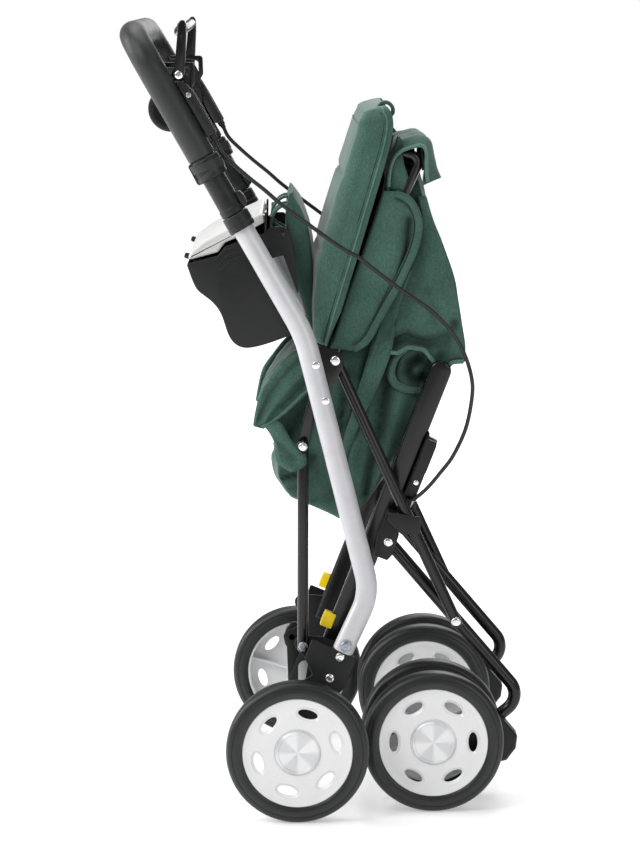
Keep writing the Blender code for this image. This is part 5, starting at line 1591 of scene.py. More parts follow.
SEAT_FRAME_TOP = (0.152, 0.806)
SEAT_FRAME_HEAD = (0.126, 0.812)
BOARD = ((0.047, 0.6), (0.087, 0.734), (0.116, 0.833))
BOARD_HALF_WIDTH = 0.123
BOARD_HALF_DEPTH = 0.0035


def make_seat():
    """Bent tube and moulded board under the cushion."""
    y = SEAT_FRAME_Y
    low = beyond(SEAT_PIVOT, SEAT_FRAME_TOP, EYE_REACH)
    corners = [
        at(*low, -y), at(*SEAT_FRAME_TOP, -y), at(*SEAT_FRAME_HEAD, -y), at(*SEAT_FRAME_HEAD, y),
        at(*SEAT_FRAME_TOP, y), at(*low, y),
    ]
    tube(
        "seat_tube", rounded(corners, 0.012, 9.0), SEAT_FRAME_RADIUS, "seat", black_paint, ["seat_frame"], 24,
        0.002,
    )
    outline = [(x - BOARD_HALF_DEPTH, z) for x, z in BOARD]
    outline += [(x + BOARD_HALF_DEPTH, z) for x, z in reversed(BOARD)]
    shape = bmesh.new()
    plate_into(
        shape, rounded(outline, 0.0012, 20.0, closed=True), -BOARD_HALF_WIDTH, BOARD_HALF_WIDTH, 0.0012,
    )
    show("seat_board_panel", shape, "seat", black_plastic, ["seat_board"])


make_seat()


# Brake cables, each in two lengths that meet on the post

CABLE_UPPER = (
    (-0.0906, 0.2, 0.8152), (-0.0749, 0.199, 0.7995), (-0.0568, 0.1975, 0.7838), (-0.0387, 0.196, 0.7693),
    (-0.0206, 0.1945, 0.7536), (0.0036, 0.193, 0.7354), (0.0218, 0.1915, 0.722), (0.04, 0.1905, 0.7086),
    (0.0582, 0.1893, 0.6965), (0.074, 0.188, 0.688),
)
CABLE_LOWER = {
    "right": (
        (0.074, 0.188, 0.688), (0.119, 0.185, 0.653), (0.162, 0.183, 0.623), (0.189, 0.181, 0.595),
        (0.205, 0.179, 0.567), (0.214, 0.177, 0.536), (0.214, 0.174, 0.511), (0.207, 0.171, 0.475),
        (0.192, 0.1675, 0.441), (0.1755, 0.1635, 0.418), (0.1602, 0.16, 0.3992),
    ),
    "left": (
        (0.074, 0.188, 0.688), (0.109, 0.1855, 0.662), (0.138, 0.184, 0.633), (0.156, 0.1825, 0.598),
        (0.164, 0.1815, 0.565), (0.168, 0.1795, 0.53), (0.169, 0.176, 0.495), (0.168, 0.172, 0.46),
        (0.164, 0.168, 0.433), (0.158, 0.1635, 0.412), (0.15, 0.16, 0.396),
    ),
}


def make_cable(name, points, sign, stands_for=()):
    """One length of sheathed brake cable between two bodies that move apart."""
    line = curve_through([at(x, z, sign * y) for x, y, z in points], 6)
    shape = bmesh.new()
    sweep_into(shape, line, CABLE_RADIUS, 14, 0.0005)
    piece = show(name, shape, None, sheath, stands_for, edge_degrees=50.0)
    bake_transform(piece)


def make_cables():
    """Brake cables: each leaves its hand lever, is clipped at the post and ends in a stop on the rail."""
    for side, sign in SIDES:
        start = handle_point(0.096, 0.0242)
        end = rail_point(CABLE_STOP_TOP, CABLE_FORWARD)
        upper = ((start[0], POST_Y, start[1]), *CABLE_UPPER)
        lower = (*CABLE_LOWER[side], (end[0], CABLE_STOP_Y, end[1]))
        make_cable("cable_upper_" + side, upper, sign, ["brake_cable_" + side])
        make_cable("cable_lower_" + side, lower, sign)


make_cables()


# Soft goods

def spread_shares(count, ends=0.7):
    """Shares from 0 to 1 that lie closer together near both ends."""
    shares = []
    for index in range(count + 1):
        even = index / count
        eased = (1 - math.cos(math.pi * even)) / 2
        shares.append(even * (1 - ends) + eased * ends)
    return shares


def ruled_grid(back_edge, front_edge, rows, columns, bottom=None):
    """Rows of drawn points between two edges that both run from the top down; bottom shapes the lowest."""
    back_line = evenly(curve_through(back_edge, 8), rows + 1)
    front_line = evenly(curve_through(front_edge, 8), rows + 1)
    shares = spread_shares(columns)
    grid = [[start.lerp(end, share) for share in shares] for start, end in zip(back_line, front_line)]
    if bottom:
        hem = curve_through(bottom, 8)
        length = evenly(hem, 200)
        targets = [length[round(share * 199)] for share in shares]
        moves = [target - point for target, point in zip(targets, grid[-1])]
        for index, row in enumerate(grid):
            pull = max(0.0, (index / rows - 0.55) / 0.45) ** 2
            for column, move in enumerate(moves):
                row[column] = row[column] + move * pull
    return grid


def inset(line, distance):
    """Line moved sideways in the drawing, for a hem inside an edge."""
    line = evenly(curve_through(line, 8), 24)
    moved = []
    for index, point in enumerate(line):
        along = direction_at(line, index)
        moved.append(point + Vector((along.y, -along.x)) * distance)
    return moved


def rim_of(rows, columns):
    """Grid places round the edge of a grid, in order."""
    places = [(0, column) for column in range(columns)]
    places += [(row, columns) for row in range(rows)]
    places += [(rows, column) for column in range(columns, 0, -1)]
    places += [(row, 0) for row in range(rows, 0, -1)]
    return places


def closed_form(shape, grid, near, far, stations=1, swell=None):
    """Adds a closed soft form: a near and a far surface over one grid, joined round the rim.

    near and far give y at a grid point; swell gives how far the rim stands out at a share from near to far.
    """
    rows, columns = len(grid) - 1, len(grid[0]) - 1
    surfaces = []
    for surface in (near, far):
        verts = [
            [
                shape.verts.new(at(point.x, point.y, surface(point, row / rows, column / columns)))
                for column, point in enumerate(points)
            ]
            for row, points in enumerate(grid)
        ]
        surfaces.append(verts)
        skin(shape, verts, around=False)
    places = rim_of(rows, columns)
    count = len(places)
    outward = []
    for index in range(count):
        before, after = places[index - 2], places[(index + 2) % count]
        along = grid[after[0]][after[1]] - grid[before[0]][before[1]]
        normal = Vector((-along.y, along.x))
        outward.append(normal.normalized() if normal.length > 1e-9 else Vector((0.0, 0.0)))
    middle = grid[rows // 2][columns // 2]
    test = grid[rows // 2][columns]
    index = places.index((rows // 2, columns))
    if outward[index].dot(test - middle) < 0:
        outward = [-normal for normal in outward]
    rings = [[surfaces[0][row][column] for row, column in places]]
    for station in range(1, stations + 1):
        share = station / (stations + 1)
        ring = []
        for (row, column), normal in zip(places, outward):
            start, end = surfaces[0][row][column].co, surfaces[1][row][column].co
            point = start.lerp(end, share)
            out = normal * (swell(share, point, row / rows, column / columns) if swell else 0.0)
            ring.append(shape.verts.new(point + Vector((out.x, 0, out.y))))
        rings.append(ring)
    rings.append([surfaces[1][row][column] for row, column in places])
    skin(shape, rings)


def line_distance(point, line):
    """Distance from a drawn point to a line of points."""
    best = 1e9
    for start, end in zip(line, line[1:]):
        span = end - start
        share = min(1.0, max(0.0, (point - start).dot(span) / span.length_squared))
        best = min(best, (point - start - span * share).length)
    return best


def crease_height(point, creases):
    """Height of the cloth at a point from its ridges and valleys: (line, width, height) each."""
    height = 0.0
    for line, width, rise in creases:
        away = line_distance(point, line) / width
        if away < 3:
            height += rise * math.exp(-away * away)
    return height


def creases_from(rows):
    """Creases with their lines as vectors."""
    return [([Vector(point) for point in line], width, rise) for line, width, rise in rows]


def wrinkle(x, y, z, cell, height, seed=0.0):
    """Small even wrinkles of soft cloth."""
    return noise.noise(Vector((x / cell + seed, y / cell, z / cell))) * height


def rim_round(row, column, reach=0.16):
    """0 at the edge of a grid, rising round to 1 inside it."""
    inside = 1.0
    for share in (row, column):
        edge = min(share, 1 - share) / reach
        if edge < 1:
            inside *= math.sqrt(max(0.0, 1 - (1 - edge) ** 2))
    return inside


def piping(name, points, radius, body, closed=False):
    """Cord sewn into a seam, in a paler green that is a painted highlight on its edge."""
    line = curve_through(points, 5, closed)
    shape = bmesh.new()
    if closed:
        line = [*line, line[0] + (line[1] - line[0]) * 0.01]
    sweep_into(shape, line, radius, 10, 0.0)
    return show(name, shape, body, painted_highlight_green_fabric, edge_degrees=60.0)


def strap(name, line, width, thickness, body, material=None):
    """Flat woven strap along a line in a side-view plane; without a material it takes the paler green of the
    piping, a painted highlight.
    """
    line = curve_through(line, 6)
    shape = bmesh.new()
    rings = []
    for index, point in enumerate(line):
        along = direction_at(line, index)
        out = along.cross(Vector((0, 1, 0))).normalized()
        ring = []
        for a, b in ((-1, -0.5), (-0.9, -1), (0.9, -1), (1, -0.5), (1, 0.5), (0.9, 1), (-0.9, 1), (-1, 0.5)):
            ring.append(shape.verts.new(point + Vector((0, a * width / 2, 0)) + out * b * thickness / 2))
        rings.append(ring)
    closed_skin(shape, rings)
    return show(name, shape, body, material or painted_highlight_green_fabric, edge_degrees=50.0)


# Seat cushion, whose back lies on the board

CUSHION_BACK = ((0.037, 0.5745), (0.0425, 0.6), (0.0825, 0.734), (0.11, 0.833), (0.1075, 0.869))
CUSHION_HALF_WIDTH = 0.1535
CUSHION_EDGE_THICKNESS = 0.0345
CUSHION_CROWN = 0.0115
CUSHION_SIDE_PULL = 0.0035
CUSHION_LOW_TAPER = 0.3
CUSHION_LOW_SHARE = 0.42
CUSHION_TAB = (
    (0.0985, 0.86), (0.101, 0.868), (0.106, 0.8722), (0.112, 0.8718), (0.117, 0.867), (0.1178, 0.8602),
    (0.114, 0.8565), (0.109, 0.858),
)
CUSHION_SHOULDER = 0.015
CUSHION_WRAP = 0.0062
CUSHION_HEM = 0.004
CUSHION_WALL_BULGE = 0.0028
CHANNELS = (0.36, 0.68)
CHANNEL_WIDTH = 0.012
CHANNEL_DEPTH = 0.003
PIPING_OUT = 0.0022


def wall_bulges(base, end_round, steps, seed):
    """Shares along a side wall of the cushion, and how far it bulges at each."""
    bulges = []
    for step in range(1, steps):
        share = step / steps
        bulge = math.sin(math.pi * share) * CUSHION_WALL_BULGE
        bulge += wrinkle(base.x, seed, base.y + share, 0.022, 0.0006)
        bulges.append((share, bulge * end_round))
    return bulges


def make_cushion():
    """Crowned pad with round shoulders, a piped seam round its back, drawn-in sides and two sewn channels."""
    rows, columns, wall = 64, 56, 8
    back = evenly(curve_through(CUSHION_BACK, 10), rows + 1)
    shape = bmesh.new()
    rings = []
    back_near, back_far = [], []
    for row, share in enumerate(spread_shares(rows, 0.8)):
        place = share * rows
        index = min(rows - 1, int(place))
        base = back[index].lerp(back[index + 1], place - index)
        along = (back[index + 1] - back[index]).normalized()
        front = Vector((-along.y, along.x))
        taper = CUSHION_LOW_SHARE + (1 - CUSHION_LOW_SHARE) * min(1.0, share / CUSHION_LOW_TAPER) ** 0.8
        end_round = 1.0
        for edge, reach in ((share, 0.035), (1 - share, 0.045)):
            if edge < reach:
                end_round = min(end_round, math.sqrt(max(0.0, 1 - (1 - edge / reach) ** 2)))
        thick = CUSHION_EDGE_THICKNESS * taper * (0.3 + 0.7 * end_round)
        shoulder = CUSHION_SHOULDER * min(1.0, thick / 0.022)
        wall_top = thick - shoulder
        wrap = CUSHION_WRAP * end_round * min(1.0, share / 0.15)
        half = (
            CUSHION_HALF_WIDTH - CUSHION_SIDE_PULL * math.sin(math.pi * share)
        ) * (0.94 + 0.06 * end_round)
        lengthwise = math.sin(math.pi * min(1.0, max(0.0, share))) ** 0.5
        section = []
        for step in range(columns + 1):
            y = -half + 2 * half * (1 - math.cos(math.pi * step / columns)) / 2
            across = abs(y) / half
            crown = CUSHION_CROWN * lengthwise * (1 - across ** 5) * taper
            channel = 0.0
            for middle in CHANNELS:
                away = (share - middle) / CHANNEL_WIDTH
                channel += math.exp(-away * away) * CHANNEL_DEPTH * (1 - across ** 8)
            pucker = math.sin(y * 310 + share * 9) * 0.0005 * across ** 4
            fall = max(0.0, shoulder - (half - abs(y)))
            fall = shoulder - math.sqrt(max(0.0, shoulder * shoulder - fall * fall))
            height = thick + crown - channel + pucker - fall + wrinkle(base.x, y, base.y, 0.03, 0.001)
            section.append((y, height))
        for down, bulge in wall_bulges(base, end_round, wall, 3.1):
            section.append((half + bulge, wall_top - (wall_top + wrap) * down))
        section += [(half, -wrap), (half - 0.003, -wrap), (half - CUSHION_HEM, -0.0002)]
        for step in range(1, columns // 2):
            section.append(((half - CUSHION_HEM) * (1 - 4 * step / columns), -0.0002))
        section += [(CUSHION_HEM - half, -0.0002), (0.003 - half, -wrap), (-half, -wrap)]
        for up, bulge in wall_bulges(base, end_round, wall, 7.7):
            section.append((-half - bulge, -wrap + (wall_top + wrap) * up))
        seam = base + front * (0.0015 if share < 0.97 else 0.003)
        back_near.append(at(*seam, -half - PIPING_OUT * end_round))
        back_far.append(at(*seam, half + PIPING_OUT * end_round))
        rings.append([shape.verts.new(at(*(base + front * rise), y)) for y, rise in section])
    closed_skin(shape, rings)
    cushion = show("seat_cushion_cover", shape, "seat", green_fabric, ["seat_cushion"], edge_degrees=70.0)
    loop = evenly([*back_near[1:-1], *reversed(back_far[1:-1]), back_near[1]], 150)[:-1]
    piping("cushion_piping", loop, 0.0012, "seat", closed=True)
    for side, sign in SIDES:
        # A near-black green line beside the back seam: a painted shade where the seam sinks in.
        seam_shade_line = [
            point - Vector((0.0042, 0, -0.001)) for point in (back_near if sign < 0 else back_far)[3:-3:4]
        ]
        shape = bmesh.new()
        sweep_into(shape, curve_through(seam_shade_line, 4), 0.0007, 8, 0.0)
        show("cushion_seam_shade_" + side, shape, "seat", seam_painted_shade_fabric)
    tab = [at(x, z, -0.118) for x, z in CUSHION_TAB]
    strap("cushion_pull_tab", tab, 0.018, 0.0046, "seat", green_fabric)


make_cushion()


# Shopping bag

BAG_HALF_WIDTH = 0.115
BAG_BACK_EDGE = (
    (0.12, 0.798), (0.099, 0.728), (0.078, 0.656), (0.058, 0.59), (0.038, 0.562), (0.0056, 0.564),
    (-0.02, 0.538), (-0.037, 0.512), (-0.044, 0.488), (-0.038, 0.468), (-0.026, 0.454), (-0.02, 0.44),
    (-0.0255, 0.426), (-0.024, 0.408), (-0.017, 0.393), (-0.0091, 0.3806),
)
BAG_FRONT_EDGE = (
    (0.144, 0.795), (0.154, 0.764), (0.173, 0.6907), (0.189, 0.63), (0.196, 0.5914), (0.193, 0.56),
    (0.174, 0.544), (0.156, 0.498), (0.134, 0.45), (0.112, 0.412), (0.084, 0.372), (0.0533, 0.353),
)


BAG_CREASES = creases_from((
    (
        (
            (0.1278, 0.6402), (0.1175, 0.6089), (0.1072, 0.574), (0.0934, 0.5391), (0.0795, 0.5006),
            (0.0691, 0.469),
        ),
        0.006, -0.014,
    ),
    (
        (
            (0.1211, 0.56), (0.1125, 0.5321), (0.1056, 0.5041), (0.1039, 0.476), (0.097, 0.4408),
            (0.0867, 0.3844),
        ),
        0.006, -0.015,
    ),
    (
        ((0.1506, 0.5565), (0.1402, 0.5495), (0.1368, 0.5391), (0.1438, 0.5285), (0.156, 0.5303)), 0.0065,
        -0.018,
    ),
    (((0.1663, 0.5495), (0.1594, 0.5355), (0.1525, 0.518)), 0.008, -0.016),
    (((0.129, 0.51), (0.123, 0.48), (0.113, 0.44), (0.102, 0.405)), 0.008, 0.007),
    (((0.15, 0.47), (0.13, 0.43), (0.112, 0.405)), 0.0065, -0.009),
    (((0.084, 0.52), (0.076, 0.48), (0.066, 0.42), (0.058, 0.37)), 0.008, 0.007),
    (((0.064, 0.54), (0.058, 0.49), (0.048, 0.44)), 0.006, -0.011),
    (((0.016, 0.51), (-0.002, 0.482), (-0.012, 0.462)), 0.012, -0.028),
    (((0.03, 0.512), (0.02, 0.486), (0.012, 0.458)), 0.009, -0.014),
    (((0.046, 0.45), (0.03, 0.42), (0.01, 0.398), (-0.01, 0.392)), 0.0075, 0.007),
    (((0.02, 0.43), (0.004, 0.408), (-0.018, 0.404)), 0.007, -0.012),
    (((0.062, 0.41), (0.045, 0.385), (0.022, 0.376)), 0.006, -0.008),
))


def make_bag():
    """Collapsed bag: a lofted shell with deep folds in its sides that sags between them."""
    grid = ruled_grid(BAG_BACK_EDGE, BAG_FRONT_EDGE, 90, 44)

    def side(sign, seed):
        def surface(point, row, column):
            rounded_by = rim_round(row, column, 0.1)
            y = BAG_HALF_WIDTH - 0.01 + 0.01 * rounded_by
            folds = crease_height(point, BAG_CREASES) * min(1.0, rounded_by * 1.3)
            folds += (
                wrinkle(point.x, seed, point.y, 0.024, 0.0035) + wrinkle(point.x, seed, point.y, 0.009, 0.001)
            )
            return sign * (y + folds * 0.9)
        return surface

    def swell(share, point, row, column):
        away = 2 * share - 1
        sag = 0.004 * (1 - abs(away) ** 4) - 0.002 * math.cos(math.pi * away) ** 2
        ripple = wrinkle(point.x * 0.4, point.y, point.z, 0.034, 0.006, 4.2)
        ripple += wrinkle(point.x, point.y * 1.6, point.z, 0.014, 0.0018, 9.1)
        return (sag + ripple) * (1 - abs(away) ** 6)

    shape = bmesh.new()
    closed_form(shape, grid, side(-1, 0.3), side(1, 5.7), 34, swell)
    shell = show("bag_shell", shape, None, green_fabric, ["bag_body"], edge_degrees=75.0)
    hang_between(shell)


def flap(
    name, edges, sign, y, thickness, body=None, creases=(), size=(40, 22), seed=0.0, bottom=None, wave=0.0022,
    reach=0.0,
):
    """Flap of cloth between two edges, with a soft rolled rim; without a body its place is baked into its
    mesh.
    """
    grid = ruled_grid(*edges, *size, bottom)
    folds = creases_from(creases)

    def surface(offset):
        def height(point, row, column):
            rounded_by = rim_round(row, column, 0.12)
            lift = crease_height(point, folds) + wrinkle(point.x, seed, point.y, 0.028, wave)
            lift += wrinkle(point.x, seed, point.y, 0.01, wave * 0.3) - reach * (1 - row) ** 2
            return sign * (y + lift + offset * (0.45 + 0.55 * rounded_by))
        return height

    def swell(share, *rest):
        return math.sin(math.pi * share) * thickness * 0.35

    shape = bmesh.new()
    closed_form(shape, grid, surface(thickness / 2), surface(-thickness / 2), 3, swell)
    piece = show(name, shape, body, green_fabric, edge_degrees=75.0)
    if not body:
        hang_between(piece)
    return piece


def hang_between(piece):
    """Bakes a piece of the bag's place into its mesh, so that it follows no body of the frame."""
    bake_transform(piece)


make_bag()

POCKET_BACK = (
    (0.1062, 0.764), (0.1, 0.743), (0.0872, 0.7047), (0.0762, 0.674), (0.0627, 0.6369), (0.0492, 0.5936),
    (0.042, 0.572),
)
POCKET_FRONT = (
    (0.1227, 0.7632), (0.1362, 0.7575), (0.1448, 0.7475), (0.1505, 0.733), (0.1512, 0.7145), (0.145, 0.6899),
    (0.134, 0.6653), (0.1242, 0.6455), (0.1144, 0.6282), (0.1021, 0.606), (0.0874, 0.58), (0.072, 0.569),
)
LINER_BACK = ((0.1238, 0.8309), (0.1178, 0.8087), (0.1093, 0.7781), (0.1056, 0.7658))
LINER_FRONT = (
    (0.129, 0.825), (0.1286, 0.8103), (0.1303, 0.7966), (0.1338, 0.7863), (0.135, 0.7777), (0.1304, 0.764),
)
STRIP_BACK = (
    (0.133, 0.664), (0.119, 0.635), (0.108, 0.613), (0.099, 0.59), (0.09, 0.56), (0.08, 0.525), (0.07, 0.49),
)
STRIP_FRONT = (
    (0.14, 0.666), (0.131, 0.642), (0.123, 0.615), (0.119, 0.588), (0.111, 0.554), (0.096, 0.518),
    (0.078, 0.48),
)
PANEL_BACK = (
    (0.15, 0.756), (0.1535, 0.735), (0.1529, 0.7132), (0.1456, 0.6848), (0.1333, 0.6564), (0.1247, 0.639),
    (0.1223, 0.6167), (0.1199, 0.5918), (0.115, 0.5672),
)
PANEL_FRONT = (
    (0.158, 0.756), (0.1664, 0.728), (0.1789, 0.6972), (0.1927, 0.6576), (0.1978, 0.629), (0.2029, 0.598),
    (0.2067, 0.5731), (0.2062, 0.5534),
)
PANEL_HEM = (
    (0.115, 0.565), (0.1245, 0.5639), (0.1366, 0.5702), (0.1487, 0.5691), (0.1574, 0.5667), (0.1661, 0.5569),
    (0.1749, 0.5457), (0.1853, 0.5447), (0.1922, 0.5516), (0.2062, 0.553),
)
CLOTH_ROLL = (
    (0.14, 0.57), (0.1367, 0.5688), (0.1246, 0.56), (0.1177, 0.5461), (0.117, 0.5338), (0.1229, 0.5233),
    (0.1351, 0.5173), (0.1473, 0.5163), (0.153, 0.518),
)
LOW_ROLL = ((0.095, 0.556), (0.084, 0.525), (0.076, 0.49), (0.064, 0.456), (0.056, 0.42))
LEFT_TOP_BACK = (
    (0.01, 0.569), (-0.002, 0.564), (-0.0151, 0.5532), (-0.0312, 0.5332), (-0.0437, 0.5148),
    (-0.0495, 0.4922), (-0.0527, 0.4735),
)
LEFT_TOP_FRONT = (
    (0.027, 0.542), (0.0184, 0.523), (0.0035, 0.5082), (-0.0152, 0.4907), (-0.0313, 0.4779), (-0.0438, 0.471),
)
LEFT_LOW_BACK = (
    (-0.04, 0.474), (-0.0315, 0.4632), (-0.0254, 0.4507), (-0.0254, 0.4404), (-0.0213, 0.43),
    (-0.009, 0.4216),
)
LEFT_LOW_FRONT = (
    (-0.0294, 0.4798), (-0.0212, 0.4756), (-0.0151, 0.4673), (-0.0089, 0.457), (-0.0007, 0.4486),
    (0.0083, 0.4403), (0.0095, 0.4299), (0.0013, 0.4237),
)


def make_side_flaps():
    """Flaps, hems and folded cloth on both sides of the bag."""
    for side, sign in SIDES:
        flap(
            "side_pocket_" + side, (POCKET_BACK, POCKET_FRONT), sign, 0.14, 0.004, "seat",
            (
                (
                    ((0.1379, 0.7283), (0.135, 0.69), (0.1271, 0.6593), (0.1169, 0.6386), (0.0928, 0.5901)),
                    0.0042, -0.008,
                ),
                (((0.124, 0.738), (0.12, 0.698), (0.109, 0.662), (0.086, 0.61)), 0.008, 0.0035),
            ),
            (60, 40), 1.1, wave=0.0012,
        )
        flap(
            "side_pocket_hem_" + side, (inset(POCKET_FRONT, 0.0068), POCKET_FRONT), sign, 0.1412, 0.0076,
            "seat", (), (60, 8), 1.1, wave=0.0012,
        )
        # A near-black green line inside the pocket's hem: a painted shade where the stitching sinks in.
        seam_shade_line = [at(point.x, point.y, sign * 0.144) for point in inset(POCKET_FRONT, 0.0076)]
        shape = bmesh.new()
        sweep_into(shape, curve_through(seam_shade_line, 3), 0.0006, 8, 0.0)
        show("side_pocket_seam_shade_" + side, shape, "seat", seam_painted_shade_fabric)
        flap("bag_liner_" + side, (LINER_BACK, LINER_FRONT), sign, 0.134, 0.004, "seat", (), (24, 10), 4.0)
        flap("bag_side_strip_" + side, (STRIP_BACK, STRIP_FRONT), sign, 0.127, 0.006, None, (), (50, 14), 2.2)
        flap(
            "bag_side_panel_" + side, (PANEL_BACK, PANEL_FRONT), sign, 0.1235, 0.005, None,
            (
                (((0.15, 0.74), (0.16, 0.69), (0.165, 0.64), (0.16, 0.61)), 0.012, 0.003),
                (
                    ((0.121, 0.5779), (0.1348, 0.5831), (0.1487, 0.5779), (0.1626, 0.5744), (0.1765, 0.5778)),
                    0.0062, -0.019,
                ),
                (((0.125, 0.6), (0.15, 0.602), (0.18, 0.594)), 0.007, 0.003),
                (((0.16, 0.64), (0.168, 0.615), (0.182, 0.585)), 0.006, -0.006),
                (((0.195, 0.6), (0.185, 0.575), (0.178, 0.556)), 0.006, -0.01),
            ),
            (70, 36), 3.3, PANEL_HEM,
        )
        for name, line, radius in (("bag_roll_", CLOTH_ROLL, 0.0042), ("bag_low_roll_", LOW_ROLL, 0.0062)):
            points = curve_through([at(x, z, sign * 0.119) for x, z in line], 8)
            radii = [
                0.001 + radius * math.sin(math.pi * index / (len(points) - 1)) ** 0.6
                for index in range(len(points))
            ]
            shape = bmesh.new()
            sweep_into(shape, points, radii, 20)
            hang_between(show(name + side, shape, None, green_fabric, edge_degrees=75.0))
        for name, line, y, radius in (
            ("bag_panel_hem_", PANEL_HEM, 0.127, 0.0028),
            ("bag_left_top_hem_", LEFT_TOP_FRONT, 0.127, 0.0026),
            ("bag_left_top_edge_", LEFT_TOP_BACK, 0.1225, 0.0022),
        ):
            hem = [at(x, z, sign * y) for x, z in line]
            hang_between(piping(name + side, hem, radius, None))
        flap(
            "bag_left_top_" + side, (LEFT_TOP_BACK, LEFT_TOP_FRONT), sign, 0.124, 0.006, None,
            (
                (((0.006, 0.556), (-0.014, 0.536), (-0.034, 0.508), (-0.046, 0.482)), 0.0035, -0.0035),
                (((0.014, 0.546), (-0.006, 0.524), (-0.026, 0.5), (-0.04, 0.48)), 0.004, 0.004),
                (((0.018, 0.532), (0.0, 0.514), (-0.018, 0.497)), 0.003, -0.003),
            ),
            (40, 22), 5.1,
        )
        flap(
            "bag_left_low_" + side, (LEFT_LOW_BACK, LEFT_LOW_FRONT), sign, 0.16, 0.005, None,
            (
                (((-0.036, 0.468), (-0.018, 0.45), (-0.004, 0.434)), 0.004, -0.004),
                (((-0.022, 0.436), (-0.01, 0.428), (0.0, 0.42)), 0.004, 0.0035),
            ),
            (36, 16), 6.4, reach=0.034,
        )


make_side_flaps()

HOOD_LINE = (
    (0.112, 0.776), (0.1132, 0.795), (0.1165, 0.809), (0.1225, 0.8185), (0.131, 0.8238), (0.1407, 0.8262),
    (0.1495, 0.828), (0.1565, 0.8262), (0.1608, 0.8205), (0.163, 0.811), (0.1645, 0.8019), (0.1672, 0.7896),
    (0.1706, 0.778),
)
HOOD_HALF_WIDTH = 0.139
HOOD_DROP = 0.012
HOOD_THICKNESS = 0.0034
HOOD_CURL = 0.01
HOOD_HANG_START = 0.55
HOOD_CORNER_START = 0.84
HOOD_HEM_RADIUS = 0.0024


def hood_curl(share):
    """How far the hood's corners curl back, at a share of the way down its line."""
    return HOOD_CURL * max(0.0, share - HOOD_HANG_START) / (1 - HOOD_HANG_START)


def hood_drop(share):
    """How far the hood's corners hang below its middle."""
    return HOOD_DROP * (1 - 0.6 * share)


def make_hood():
    """Padded flap that folds over the top tube of the seat, droops at its ends and hangs down in front."""
    line = evenly(curve_through(HOOD_LINE, 8), 52)
    shape = bmesh.new()
    surfaces = []
    columns = 64
    for offset in (0.0, HOOD_THICKNESS):
        verts = []
        for index, point in enumerate(line):
            along = direction_at(line, index)
            out = Vector((-along.y, along.x))
            share = index / (len(line) - 1)
            row = []
            for column in range(columns + 1):
                y = HOOD_HALF_WIDTH * math.sin(math.pi * (column / columns - 0.5))
                end = max(0.0, abs(y) / HOOD_HALF_WIDTH - HOOD_CORNER_START) / (1 - HOOD_CORNER_START)
                lift = (
                    wrinkle(point.x, y, point.y, 0.03, 0.0026, 2.0)
                    + wrinkle(point.x, y, point.y, 0.012, 0.0008, 6.0)
                )
                pleat = 0.0045 * share ** 3 * math.sin(y * 150 + 0.6) * (0.3 + abs(y) / HOOD_HALF_WIDTH)
                spot = point + out * (lift + offset * (1 - 0.5 * end ** 4) + pleat)
                spot.x -= hood_curl(share) * end ** 1.5
                row.append(shape.verts.new(at(spot.x, spot.y - hood_drop(share) * end ** 1.8, y)))
            verts.append(row)
        surfaces.append(verts)
        skin(shape, verts, around=False)
    rows = len(line) - 1
    rim = [[surface[row][column] for row, column in rim_of(rows, columns)] for surface in surfaces]
    skin(shape, rim)
    hood = show("bag_top_flap", shape, "seat", green_fabric, edge_degrees=75.0)
    for side, sign in SIDES:
        hem = []
        for index in range(2, len(line), 3):
            share = index / rows
            x = line[index].x - hood_curl(share)
            hem.append(at(x, line[index].y - hood_drop(share) + 0.0006, sign * (HOOD_HALF_WIDTH + 0.0004)))
        piping("bag_top_hem_" + side, hem, HOOD_HEM_RADIUS, "seat")


make_hood()

BACK_FLAP_BACK = (
    (-0.0095, 0.76), (-0.0135, 0.742), (-0.0125, 0.715), (-0.0075, 0.69), (-0.0001, 0.6537), (0.0098, 0.6165),
    (0.02, 0.579),
)
BACK_FLAP_FRONT = (
    (-0.0075, 0.76), (-0.002, 0.753), (0.0049, 0.742), (0.013, 0.72), (0.0172, 0.698), (0.0195, 0.6723),
    (0.0207, 0.6413), (0.025, 0.6), (0.0275, 0.574),
)


def make_back_flap():
    """Padded flap that hangs behind the seat from the tray's bracket, with its hanging loops."""
    grid = ruled_grid(BACK_FLAP_BACK, BACK_FLAP_FRONT, 44, 10)

    def side(sign):
        return lambda point, row, column: sign * (
            0.114 + 0.0035 * rim_round(row, column, 0.3) + wrinkle(point.x, sign, point.y, 0.02, 0.0015)
        )

    def swell(share, point, row, column):
        away = 2 * share - 1
        return (
            0.0035 * (1 - away ** 4) * math.sin(math.pi * min(1.0, row * 1.1))
            - 0.006 * (1 - away ** 2) * (1 - row) ** 3 + wrinkle(point.x, point.y, point.z, 0.03, 0.0022, 7.0)
        )

    shape = bmesh.new()
    closed_form(shape, grid, side(-1), side(1), 30, swell)
    cover = show("back_flap_cover", shape, "post", green_fabric, ["back_pad"], edge_degrees=75.0)
    for side_name, sign in SIDES:
        for y in (0.108, 0.06):
            line = [
                at(x, z, sign * y)
                for x, z in (
                    (-0.01, 0.7), (-0.03, 0.712), (-0.0322, 0.724), (-0.029, 0.734), (-0.0225, 0.742),
                    (-0.014, 0.7455), (-0.008, 0.742),
                )
            ]
            strap("back_flap_loop_%s_%d" % (side_name, round(y * 1000)), line, 0.012, 0.0034, "post")


make_back_flap()


# Camera, light and floor

def make_camera():
    """Camera that sees the rollator's right side from just above its middle."""
    data = bpy.data.cameras.new("camera")
    data.lens = LENS
    data.sensor_width = SENSOR
    data.sensor_height = SENSOR
    data.sensor_fit = "AUTO"
    camera = link("camera", data)
    camera.location = CAMERA_PLACE
    camera.rotation_euler = (CAMERA_PITCH, 0.0, CAMERA_YAW)
    bpy.context.scene.camera = camera


